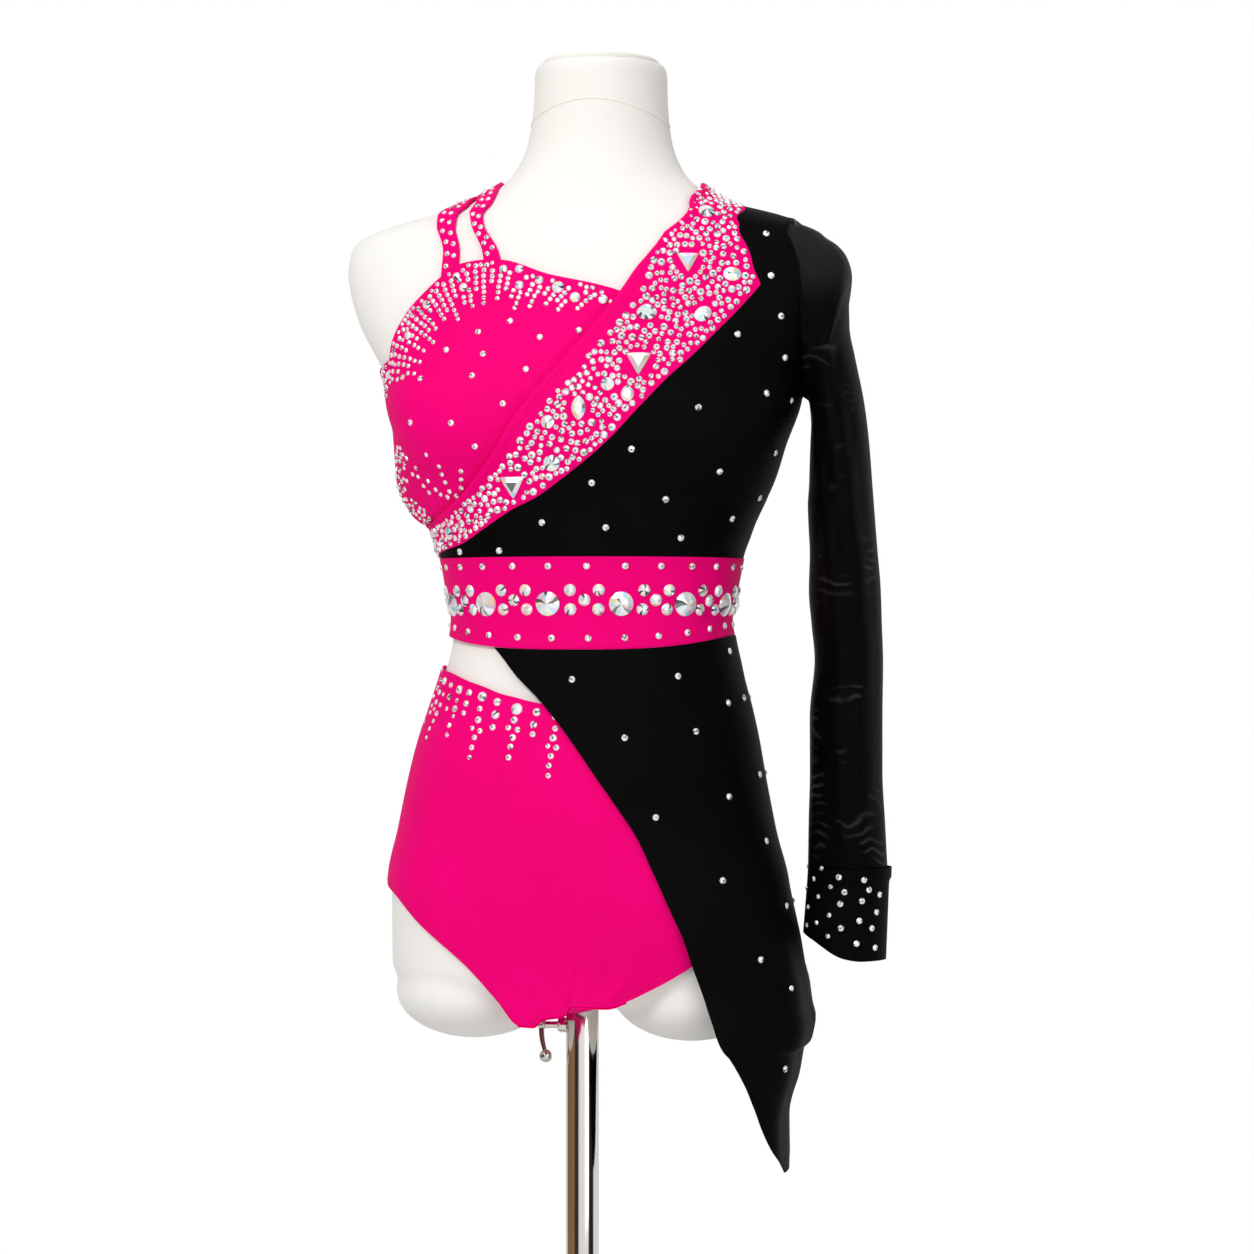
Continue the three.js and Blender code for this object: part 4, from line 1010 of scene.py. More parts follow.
POLE_RADIUS = 13.7
POLE_INNER_RADIUS = 11.3
POLE_TOP = 721.5
POLE_INNER_TOP = 990
POLE_INNER_BOTTOM = 376
CLAMP_HEIGHT = 705.5
LEVER_BOW = 1.2
BASE_RADIUS = 185


def cylinder_x(name, radii, segments=32):
    """A turned part along X: rows of distance and radius, at the clamp's height."""
    rings = []
    turn = circle(segments)
    for x, radius in radii:
        rings.append(np.stack([np.full(segments, float(x)), radius * np.cos(turn),
                               CLAMP_HEIGHT + radius * np.sin(turn)], -1))
    return ring_loft(name, rings, CHROME)


def pole_pieces():
    tube_profile = [
        [11.9, 10.5], [POLE_RADIUS - 0.4, 10.5], [POLE_RADIUS, 11], [POLE_RADIUS, POLE_TOP - 1],
        [POLE_RADIUS - 0.3, POLE_TOP - 0.3], [POLE_RADIUS - 0.9, POLE_TOP], [12.1, POLE_TOP],
        [11.9, POLE_TOP - 0.5],
    ]
    rings = np.array([level_ring(0, 0, z, r, r, 96) for r, z in tube_profile])
    rows, count = rings.shape[:2]
    faces = []
    for i in range(rows):
        for j in range(count):
            k = (j + 1) % count
            n = (i + 1) % rows
            faces.append([i * count + j, i * count + k, n * count + k, n * count + j])
    pole = new_object("pole_tube", rings.reshape(-1, 3), faces, 40)
    face_outwards(pole)
    pole.data.materials.append(CHROME)
    boss = cylinder_x("boss", [[-12.6, 5.2], [-12.7, 6.2], [-18.6, 6.2], [-19.4, 5.6], [-20.2, 5.4]])
    pole = joined("pole_tube", [pole, boss])
    finish_piece(pole, "stand", "chrome", "pole_outer")
    rod_profile = [[POLE_INNER_RADIUS, POLE_INNER_BOTTOM], [POLE_INNER_RADIUS, POLE_INNER_TOP]]
    inner = lathe("pole_rod", rod_profile, 64, CHROME)
    finish_piece(inner, "post", "chrome", "pole_inner")


def lever_pieces():
    shaft = cylinder_x("shaft", [[-20.6, 2.8], [-31, 2.8], [-31.4, 3.6], [-36.6, 3.6], [-37.4, 3.1]])
    start = np.array([-34.4, 0, CLAMP_HEIGHT])
    end = np.array([-30.8, 0, CLAMP_HEIGHT - 24])

    def on_arm(share):
        centre = start + (end - start) * share
        centre[0] -= LEVER_BOW * math.sin(share * math.pi)
        return centre

    rings = []
    for share in np.linspace(0, 1, 14):
        rings.append(level_ring(*on_arm(share), 2.5 - 0.6 * share, 1.9, 20))
    arm = ring_loft("arm", rings, CHROME)
    strip_rings = []
    for share in np.linspace(0.12, 0.86, 12):
        x, y, z = on_arm(share)
        strip_rings.append(level_ring(x, y - 1.35, z, 1.7, 1.1, 14))
    finish_piece(ring_loft("lever_strip", strip_rings, GRIP), "lever", "lever_grip")
    ball = ring_loft("ball", globe_rings(end[0], 0, end[2] - 2, 5.4, 5.4, 5.4, 16, 28), CHROME)
    finish_piece(joined("lever_metal", [shaft, arm, ball]), "lever", "chrome", "clamp_lever")


def base_piece():
    bore = POLE_RADIUS + 0.3
    profile = [
        [0.5, 0], [BASE_RADIUS - 2, 0], [BASE_RADIUS - 0.5, 0.6], [BASE_RADIUS, 2], [BASE_RADIUS, 8.4],
        [BASE_RADIUS - 0.8, 10], [BASE_RADIUS - 2.6, 11.6], [BASE_RADIUS - 5, 12.8], [BASE_RADIUS - 9, 13.2],
        [26, 18], [23, 19], [22.2, 21], [22, 24], [22, 43.5], [21.4, 45.6], [19.5, 46.8], [bore + 0.6, 47],
        [bore, 46.4], [bore, 10.2], [0.5, 10.1],
    ]
    finish_piece(lathe("base_disc", profile, 128, BASE_METAL), "stand", "base_metal", "base")


# Seams shared by the bodice's pieces

LINE_STEPS = 7
sash_table = np.array(SASH_ROWS, float)
sash_inner_knots = [
    crest_station(SASH_CREST[0]),
    *front_stations(*parts(sash_table)).tolist(),
    [RIGHT_SIDE, SASH_END[0]],
]
sash_outer_knots = [
    crest_station(SASH_CREST[1]),
    *front_stations(*parts(sash_table[:, 2:])).tolist(),
    [RIGHT_SIDE, SASH_END[1]],
]
armhole_knots = [[angle * DEG, z] for z, angle in ARMHOLE_ROWS]
bodice_side_knots = [*armhole_knots, *[[LEFT_SIDE, z] for z in BODICE_SIDE_HEIGHTS]]
top_armhole = np.array(TOP_ARMHOLE_ROWS, float)
top_outside_knots = [
    *front_stations(*parts(top_armhole)).tolist(),
    *[[RIGHT_SIDE, z] for z in TOP_SIDE_HEIGHTS],
]


def straight_over_crest(line, crest_x):
    first = skin_point(line[LINE_STEPS, 0], line[LINE_STEPS, 1])
    for step in range(1, LINE_STEPS):
        share = step / LINE_STEPS
        line[step] = shoulder_station(mix(crest_x, first[0], share), mix(0, first[1], share))
    for _ in range(12):
        line[1:12] = 0.5 * line[1:12] + 0.25 * (line[:11] + line[2:13])
    return line


sash_inner = straight_over_crest(fine_line(sash_inner_knots, LINE_STEPS), SASH_CREST[0])
sash_outer = fine_line(sash_outer_knots, LINE_STEPS, (SASH_POINT_ROW,))
bodice_side = fine_line(bodice_side_knots, LINE_STEPS, (len(armhole_knots) - 1,))
top_outside = fine_line(top_outside_knots, LINE_STEPS, (len(TOP_ARMHOLE_ROWS) - 1,))
fold_line = sash_inner[SASH_POINT_ROW * LINE_STEPS:]
top_edge_table = np.array(TOP_EDGE_ROWS, float)
top_edge_stations = front_stations(*parts(top_edge_table))
top_edge_height = smooth_curve(*parts(top_edge_stations))


def top_edge(columns):
    angle = np.linspace(top_edge_stations[0, 0], top_edge_stations[-1, 0], columns + 1)
    return np.stack([angle, top_edge_height(angle)], axis=-1)


def strap_edge(front, crest_x):
    front = np.array(front, float)
    last = skin_point(front[-1, 0], front[-1, 1])
    over = [shoulder_station(mix(last[0], crest_x, s), mix(last[1], 0, s)) for s in STRAP_CREST_SHARES]
    start = [front[0, 0], float(top_edge_height(front[0, 0])) - 1.5]
    rising = np.array([start, *front[1:].tolist(), *over])
    falling = rising[:-1][::-1] * np.array([-1, 1])
    line = fine_line(np.concatenate([rising, falling]), 5)
    for _ in range(40):
        line[1:-1] = 0.5 * line[1:-1] + 0.25 * (line[:-2] + line[2:])
    return line


def strap_grid(rows, crest):
    table = np.array(rows, float)
    left = strap_edge(front_stations(*parts(table)), crest[0])
    right = strap_edge(front_stations(*parts(table[:, 2:])), crest[1])
    return grid_between(left, right, 10)


TOP_COLUMNS = 84
top_front_grid = grid_between(top_outside, fold_line, TOP_COLUMNS, top_edge(TOP_COLUMNS))
top_back_grid = to_back(top_front_grid)
sash_grid = grid_between(sash_inner, sash_outer, 36)
black_front_grid = grid_between(sash_outer, bodice_side, 96)
black_back_grid = grid_between(to_back(sash_inner), to_back(bodice_side), 110)
outer_strap_grid = strap_grid(OUTER_STRAP_ROWS, OUTER_STRAP_CREST)
inner_strap_grid = strap_grid(INNER_STRAP_ROWS, INNER_STRAP_CREST)


def seen_grid(grid):
    point = body_point(*parts(grid), np.full(grid.shape[:2], CLOTH_OUTER))
    u, v, _ = seen_at(point)
    return u, v


def plan_grid(grid):
    point = skin_point(*parts(grid))
    return point[..., 0], point[..., 2]


# Soft creases: from u and v, to u and v, bend, half width and depth in millimetres.
TOP_CREASES = [
    [-150, 1292, -98, 1262, 3, 5, -0.9],
    [-156, 1262, -112, 1236, -3, 6, -0.8],
    [-60, 1190, -20, 1236, 3, 6, 0.8],
    [-140, 1180, -98, 1160, 3, 6, 0.7],
    [-132, 1150, -106, 1150, 1, 4, -0.6],
]
BLACK_FRONT_CREASES = [
    [166, 1262, 190, 1246, 1, 3.2, -1.6],
    [160, 1246, 182, 1222, -2, 4, 1.3],
    [150, 1236, 172, 1206, 3, 5, -1.2],
    [60, 1180, 130, 1198, 4, 9, 0.9],
    [20, 1150, 110, 1146, -5, 8, -0.8],
    [70, 1110, 130, 1122, 3, 5, -0.9],
    [90, 1098, 132, 1106, 2, 4, 0.8],
    [120, 1300, 150, 1262, 4, 7, 0.8],
]
BLACK_BACK_CREASES = [
    [150, 1262, 180, 1240, 2, 5, -1.4],
    [40, 1150, 120, 1180, 5, 9, 0.9],
    [-60, 1120, 70, 1112, -5, 8, -0.9],
    [60, 1104, 128, 1116, 3, 5, -0.9],
    [-40, 1230, 90, 1290, 8, 12, 0.9],
]


def bodice_pieces():
    pieces = {}
    for node, grid, seen, creases in (
        ("black_front", black_front_grid, seen_grid, BLACK_FRONT_CREASES),
        ("black_back", black_back_grid, plan_grid, BLACK_BACK_CREASES),
    ):
        near_waist = smooth_step(1112, 1095, grid[..., 1])
        lift = CLOTH_OUTER + crease_lift(*seen(grid), creases) - 0.8 * near_waist
        pieces[node] = worn_cloth(node, grid, lift, lift - 1.2, BLACK)
    for node, grid, seen, dip in (
        ("pink_top_front", top_front_grid, seen_grid, FOLD_DIP),
        ("pink_top_back", top_back_grid, plan_grid, 0),
    ):
        hem = hem_share(grid.shape[:2], 2, 2, ("top", "left"))
        middle = skin_point(*parts(grid))
        to_fold = np.linalg.norm(middle - middle[:, -1:], axis=-1)
        lift = top_lift(*parts(grid)) + crease_lift(*seen(grid), TOP_CREASES)
        lift = lift - dip * np.exp(-(to_fold / 5) ** 2)
        pieces[node] = worn_cloth(node, grid, lift, lift - 1.2 - 1.4 * hem, PINK)
    hem = hem_share(sash_grid.shape[:2], 2, 1.6, ("left", "right"))
    middle = skin_point(*parts(sash_grid))
    from_fold = np.linalg.norm(middle - middle[:, :1], axis=-1)
    puffed = SASH_OUTER + 1.3 * np.exp(-((from_fold - 4) / 3.4) ** 2)
    pieces["sash"] = worn_cloth("sash", sash_grid, puffed - 0.5 * hem, SASH_INNER - 0.6 * hem, PINK)
    for node, grid in (("strap_outer", outer_strap_grid), ("strap_inner", inner_strap_grid)):
        hem = hem_share(grid.shape[:2], 2, 1.5, ("left", "right"))
        pieces[node] = worn_cloth(node, grid, STRAP_OUTER - 0.3 * hem, 1.6 - 0.6 * hem, PINK)
    return pieces


# Waistband

def band_bottom(angle):
    return mix(WAISTBAND_BOTTOM_FRONT, WAISTBAND_BOTTOM_SIDE, np.abs(np.cos(angle)) ** 3)


BAND_SEGMENTS = 288
BAND_ROWS = 22


def band_grid():
    angle = circle(BAND_SEGMENTS)
    share = np.linspace(0, 1, BAND_ROWS)[:, None]
    z = mix(float(WAISTBAND_TOP), band_bottom(angle)[None, :], share)
    return np.stack([np.broadcast_to(angle, z.shape), z], axis=-1)


def waistband():
    grid = band_grid()
    angle, z = parts(grid)
    edge = hem_share(angle.shape, 2.2, 1, ("top", "bottom"))
    wave = 0.35 * np.sin(3 * angle + z / 19) * np.sin(7 * angle + 1.1) + 0.25 * np.sin(11 * angle + z / 12)
    lift = BAND_OUTER + wave * (1 - edge) + 0.35 * edge
    inner = np.full(angle.shape, BAND_INNER) - 0.6 * edge
    band = wall_piece("waistband_cloth", body_point(angle, z, lift), body_point(angle, z, inner), True, PINK)
    return finish_piece(band, "form", "pink_fabric", "waistband")


# Sleeve and cuff

def on_axis_plane(u, v):
    return np.array([u / math.cos(VIEW_YAW), 0, v])


SLEEVE_SEGMENTS = 144
sleeve_columns = [smooth_curve(np.arange(len(SLEEVE_ROWS)), column) for column in zip(*SLEEVE_ROWS)]


def clear_of_form(point, centre, clearance):
    outward = point - centre
    outward /= np.linalg.norm(outward, axis=-1, keepdims=True)
    moved = point.copy()
    for _ in range(12):
        missing = clearance - skin_distance(moved)
        moved += outward * np.where(missing > 0, missing + 0.1, 0)[:, None]
    return moved


def sleeve_wave(turn, ring):
    """Long soft folds, deeper lower down, that wander and fade."""
    depth = SLEEVE_FOLD_HEIGHT * smooth_step(SLEEVE_FIRST_FOLDED_RING, SLEEVE_FIRST_FOLDED_RING + 6, ring)
    main = depth * np.cos(SLEEVE_FOLDS * turn + 0.9 + 0.12 * ring)
    long_folds = 1.3 * np.cos(7 * turn + 0.5 * np.sin(ring * 0.6) + 0.4 * ring)
    short_folds = 0.8 * np.sin(11 * turn - 0.9 * ring) * np.sin(1.7 * ring + 2 * turn)
    low = smooth_step(4, 9, ring) * smooth_step(19.4, 17, ring)
    return main + low * (long_folds + short_folds)


def hanging_ring(outer, inner, half_depth, lift, wave):
    centre = (outer + inner) / 2
    across = (outer - inner) / 2
    half_width = np.linalg.norm(across)
    across = across / half_width
    turn = circle(SLEEVE_SEGMENTS)
    swing = wave(turn) * np.abs(np.sin(turn)) if wave else 0 * turn
    point = centre + across * ((half_width + lift) * np.cos(turn))[:, None]
    point[:, 1] -= (half_depth + lift + swing) * np.sin(turn)
    return clear_of_form(point, centre, SLEEVE_CLEARANCE + lift)


def armhole_ring(lift):
    line = fine_line(armhole_knots, 16)
    loop = np.concatenate([line, to_back(line[1:-1])[::-1]])
    length = np.linspace(0, len(loop), SLEEVE_SEGMENTS, endpoint=False)
    index = np.arange(len(loop) + 1)
    closed = np.concatenate([loop, [[loop[0, 0] + FULL_TURN, loop[0, 1]]]])
    closed[:, 0] = np.unwrap(closed[:, 0])
    angle = np.interp(length, index, closed[:, 0])
    z = np.interp(length, index, closed[:, 1])
    point = body_point(angle, z, np.full(angle.shape, 3.8))
    centre = point.mean(axis=0)
    outward = point - centre
    outward[:, 0] = 0
    outward /= np.linalg.norm(outward, axis=-1, keepdims=True)
    near_crest = np.maximum(0, np.cos(circle(SLEEVE_SEGMENTS))) ** 4
    placed = point + outward * lift
    placed[:, 0] += 0.4 + 1.9 * near_crest
    return placed


def cap_gathers(turn, ring):
    """Short level gathers on the front and back of the sleeve's head, beside the armhole."""
    height = np.cos(turn)
    fade = smooth_step(0, 1.2, ring) * smooth_step(4.6, 2.2, ring)
    return 0.9 * fade * np.sin(26 * height + 3 * np.sin(3 * turn)) * smooth_step(0.98, 0.8, height)


def sleeve():
    outer_rings = []
    inner_rings = []
    steps = np.arange(0, (len(SLEEVE_ROWS) - 1) * 8 + 1) / 8
    for lift, rings in ((0.0, outer_rings), (-SLEEVE_WALL, inner_rings)):
        rings.append(armhole_ring(lift))
        for step in steps:
            outer_u, outer_v, inner_u, inner_v, depth = (float(curve(step)) for curve in sleeve_columns)
            ring = hanging_ring(
                on_axis_plane(outer_u, outer_v), on_axis_plane(inner_u, inner_v), depth, lift,
                lambda turn, step=step: sleeve_wave(turn, step) + cap_gathers(turn, step))
            rings.append(ring)
    piece = wall_piece("sleeve_mesh", np.array(outer_rings), np.array(inner_rings), True, MESH)
    return finish_piece(piece, "form", "black_mesh", "sleeve")


cuff_hem = smooth_curve(*zip(*CUFF_HEM_ROWS))


def cuff_rings(lift, rows=26):
    rings = []
    for share in np.linspace(0, 1, rows):
        ridge = 1.6 * smooth_step(0.17, 0.13, share)
        outer = on_axis_plane(mix(CUFF["top_outer"], CUFF["hem_outer"], share) + ridge, CUFF_TOP)
        inner = on_axis_plane(mix(CUFF["top_inner"], CUFF["hem_inner"], share), CUFF_TOP)
        fold = 1.6 * share

        def wave(turn, fold=fold):
            ridge_beside = 0.6 * fold * np.exp(-((turn - 2.35) / 0.3) ** 2)
            return fold * np.exp(-((turn - 1.75) / 0.28) ** 2) - ridge_beside

        ring = hanging_ring(outer, inner, CUFF["half_depth"] + ridge, lift, wave)
        hem = cuff_hem(ring[:, 0] * math.cos(VIEW_YAW))
        first = CUFF_TOP - (CUFF_TOP - CUFF_SEAM) * min(share / 0.15, 1)
        ring[:, 2] = first if share <= 0.15 else mix(CUFF_SEAM, hem, (share - 0.15) / 0.85)
        rings.append(ring)
    return np.array(rings)


def cuff():
    piece = wall_piece("cuff_cloth", cuff_rings(0.0), cuff_rings(-1.2), True, BLACK)
    return finish_piece(piece, "form", "black_fabric", "cuff")


# Overlay

flare = curves_of(OVERLAY_FLARE_COLUMNS, OVERLAY_FLARE_ROWS)


def overlay_lift(angle, z):
    aside = np.abs(angle - LEFT_SIDE)
    side = 1 - smooth_step(18 * DEG, 75 * DEG, aside)
    hanging = mix(flare["front"](z), flare["side"](z), side)
    fold_share = 1 - smooth_step(OVERLAY_FOLD["full"], OVERLAY_FOLD["top"], z)
    near_fold = np.exp(-((LEFT_SIDE - aside - OVERLAY_FOLD["angle"]) / OVERLAY_FOLD["width"]) ** 2)
    waist = smooth_step(WAISTBAND_BOTTOM_SIDE, WAISTBAND_BOTTOM_FRONT - 22, z)
    lift = hanging + OVERLAY_FOLD["height"] * fold_share * near_fold
    return mix(OVERLAY_WAIST, lift, waist)


OVERLAY_CREASES = [
    [122, 1012, 110, 988, 1, 4, 0.9],
    [128, 964, 122, 952, 0, 3, 0.8],
    [60, 1012, 76, 968, 3, 8, 0.8],
    [100, 960, 140, 860, 6, 12, 1.2],
    [40, 930, 96, 820, -6, 12, 0.9],
    [126, 840, 150, 690, 4, 9, 1.4],
    [150, 800, 172, 700, -2, 8, -1.4],
    [161, 822, 170, 640, 2, 4.5, 2.4],
]


def overlay_pieces():
    table = np.array(OVERLAY_EDGE_ROWS, float)
    edge = fine_line(front_stations(*parts(table), overlay_lift), 8)
    side = np.stack([np.full(len(edge), LEFT_SIDE), edge[:, 1]], axis=-1)
    side[0, 1] = WAISTBAND_BOTTOM_SIDE
    grid = grid_between(edge, side, 72)
    lift_first = band_bottom(grid[0, :, 0]) - 0.2
    fade = smooth_step(16, 0, np.arange(len(edge)))[:, None]
    grid[..., 1] = grid[..., 1] + (lift_first - grid[0, :, 1])[None, :] * fade
    pieces = {}
    for name, node, rows, seen in (
        ("overlay_front", "panel_front", grid, seen_grid),
        ("overlay_back", "panel_back", to_back(grid), plan_grid),
    ):
        lift = overlay_lift(*parts(rows)) + crease_lift(*seen(rows), OVERLAY_CREASES)
        pieces[node] = worn_cloth(node, rows, lift, lift - OVERLAY_WALL, BLACK, name)
    return pieces


# Brief and gusset

def brief_line(rows, column, right_side, left_side, stations_at):
    """The knots of a brief's top or leg line, from the right side seam to the left one."""
    table = np.array(rows, float)[:, column:]
    return [right_side, *stations_at(*parts(table)).tolist(), left_side]


brief_edges = {
    node: [
        brief_line(rows, 0, [seam, BRIEF_TOP_AT_RIGHT_SIDE], [LEFT_SIDE, WAISTBAND_BOTTOM_SIDE], stations_at),
        brief_line(rows, 2, [seam, LEG_LINE_AT_SIDE], [LEFT_SIDE, LEG_LINE_AT_SIDE], stations_at),
    ]
    for node, rows, seam, stations_at in (
        ("brief_front", BRIEF_FRONT_ROWS, RIGHT_SIDE, front_stations),
        ("brief_back", BRIEF_BACK_ROWS, FULL_TURN, back_stations),
    )
}
BRIEF_CREASES = [
    [-12, 719, 0, 766, 4, 3.4, 2.6],
    [-20, 715, -14, 776, 4, 4, -1.9],
    [-29, 711, -48, 748, -4, 4, 2.2],
    [-38, 706, -72, 742, -4, 4.5, -1.8],
    [-52, 708, -88, 760, -4, 4.5, 1.3],
    [3, 721, 25, 762, -4, 3.6, -1.9],
    [16, 722, 42, 752, -3, 3.4, 2.3],
    [27, 723, 64, 744, -2, 4.5, -1.4],
    [-96, 800, -128, 836, 3, 8, 0.9],
    [60, 760, 100, 800, 3, 8, 0.9],
]


def brief_grid(top, leg):
    capped = np.array(top, float)
    capped[:, 1] = np.minimum(capped[:, 1], band_bottom(capped[:, 0]) - 0.2)
    return grid_between(fine_line(capped, 9), fine_line(leg, 9), 80)


def brief_lift(z):
    return mix(1.2, 2.4, smooth_step(WAISTBAND_BOTTOM_FRONT, WAISTBAND_BOTTOM_FRONT - 18, z)) + 1.4


def brief_pieces():
    pieces = {}
    for node, seen in (("brief_front", seen_grid), ("brief_back", plan_grid)):
        grid = brief_grid(*brief_edges[node])
        hem = hem_share(grid.shape[:2], 1, 2, ("left", "right"))
        lift = brief_lift(grid[..., 1]) + crease_lift(*seen(grid), BRIEF_CREASES)
        pieces[node] = worn_cloth(node, grid, lift, lift - 1.1 - 1.2 * hem, PINK)
    return pieces


bottom_height = smooth_curve([row[1] for row in FORM_BOTTOM_STEPS], [row[0] for row in FORM_BOTTOM_STEPS])


def underside_at(x, y):
    across = x / BODY["half_width"](CROTCH)
    depth = BODY["front"](CROTCH) if y < 0 else BODY["back"](CROTCH)
    trunk = bottom_height(np.hypot(across, y / (depth * (1 + BODY["fullness"](CROTCH) * across ** 2))))
    aside = (np.abs(x) - THIGH["centre_x"]) / THIGH["half_width"]
    ahead = (y - THIGH["centre_y"]) / THIGH["half_depth"]
    left = 1 - aside ** 2 - ahead ** 2
    lobe = THIGH["centre_z"] - THIGH["drop"] * np.sqrt(np.maximum(left, 0))
    return np.where(left > 0, np.minimum(trunk, lobe), trunk)


def gusset_rows(lift, depth):
    front = np.array(brief_edges["brief_front"][1][BRIEF_GUSSET[0]:BRIEF_GUSSET[1] + 1])
    back = np.array(brief_edges["brief_back"][1][BRIEF_BACK_GUSSET[0]:BRIEF_BACK_GUSSET[1] + 1])
    share = np.arange(7) / 6
    gather = np.where(np.arange(7) % 2 == 0, 0, 0.8)
    rows = [body_point(front[:, 0], front[:, 1] - 0.2 - depth, np.full(7, lift))]
    for y, left, right, drop in GUSSET_ROWS:
        x = mix(left, right, share)
        rows.append(np.stack([x, np.full(7, float(y)), underside_at(x, y) - drop + gather - depth], -1))
    rows.append(body_point(back[:, 0], back[:, 1] - 0.2 - depth, np.full(7, lift)))
    return np.array(rows)


def refined(points, steps):
    """A grid of points made finer along both ways by smooth curves."""
    for axis in (0, 1):
        count = points.shape[axis]
        at = np.arange((count - 1) * steps + 1) / steps
        moved = np.moveaxis(points, axis, 0)
        shape = moved.shape[1:]
        flat = moved.reshape(count, -1)
        fine = np.stack([smooth_curve(np.arange(count), line)(at) for line in flat.T], axis=-1)
        points = np.moveaxis(fine.reshape(len(at), *shape), 0, axis)
    return points


def gusset():
    outer = refined(gusset_rows(3.8, 1.4), 6)
    inner = refined(gusset_rows(2.4, 0), 6)
    piece = wall_piece("gusset_cloth", outer, inner, False, PINK)
    return finish_piece(piece, "form", "pink_fabric", "gusset")


# Stones

def round_outline(count):
    turn = circle(count)
    return np.stack([np.cos(turn), np.sin(turn)], -1)


def triangle_outline():
    corners = np.array([[0, -1], [0.9, 0.62], [-0.9, 0.62]])
    points = []
    for k in range(3):
        here, ahead = corners[k], corners[(k + 1) % 3]
        points.append(here + (ahead - here) * 0.06)
        points.append(here + (ahead - here) * 0.5)
        points.append(here + (ahead - here) * 0.94)
    return np.array(points)


def pear_outline(count=14):
    turn = circle(count) - math.pi / 2
    narrow = np.where(np.sin(turn) > 0, 1 - 0.55 * np.sin(turn) ** 2, 1)
    return np.stack([np.cos(turn) * narrow, np.sin(turn)], -1)


def marquise_outline(count=14):
    turn = circle(count) - math.pi / 2
    return np.stack([np.sign(np.cos(turn)) * np.abs(np.cos(turn)) ** 1.5, np.sin(turn)], -1)


def faceted(outline, levels, top):
    """A stone's points, faces and their wedges, from an outline, rows of scale and height, and a top."""
    count = len(outline)
    points = []
    faces = []
    wedges = []
    for n, (scale, height) in enumerate(levels):
        turned = outline if n % 2 == 0 else (outline + np.roll(outline, -1, axis=0)) / 2
        points.append(np.concatenate([turned * scale, np.full((count, 1), height)], axis=1))
    for n in range(len(levels) - 1):
        for j in range(count):
            k = (j + 1) % count
            a, b = n * count + j, n * count + k
            c, d = (n + 1) * count + j, (n + 1) * count + k
            wedges += [j, j]
            if n % 2 == 0:
                faces.append([a, b, c])
                faces.append([b, d, c])
            else:
                faces.append([a, b, d])
                faces.append([a, d, c])
    last = (len(levels) - 1) * count
    if top == "flat":
        faces.append([last + j for j in range(count)])
        wedges.append(count)
    else:
        points.append(np.array([[0, 0, top]]))
        faces += [[last + j, last + (j + 1) % count, last + count] for j in range(count)]
        wedges += list(range(count))
    return np.concatenate(points), faces, np.array(wedges)


STONE_CUTS = {
    "small": faceted(round_outline(8), [[1, -0.15], [0.97, 0.25], [0.3, 0.6]], "flat"),
    "round": faceted(round_outline(12), [[1, -0.1], [1, 0.1], [0.62, 0.4]], 0.5),
    "rivoli": faceted(round_outline(16), [[1, -0.06], [1, 0.1], [0.55, 0.3]], 0.46),
    "triangle": faceted(triangle_outline(), [[1, -0.06], [1, 0.1], [0.45, 0.32]], "flat"),
    "pear": faceted(pear_outline(), [[1, -0.06], [1, 0.12], [0.55, 0.42]], "flat"),
    "marquise": faceted(marquise_outline(), [[1, -0.06], [1, 0.12], [0.55, 0.42]], "flat"),
}


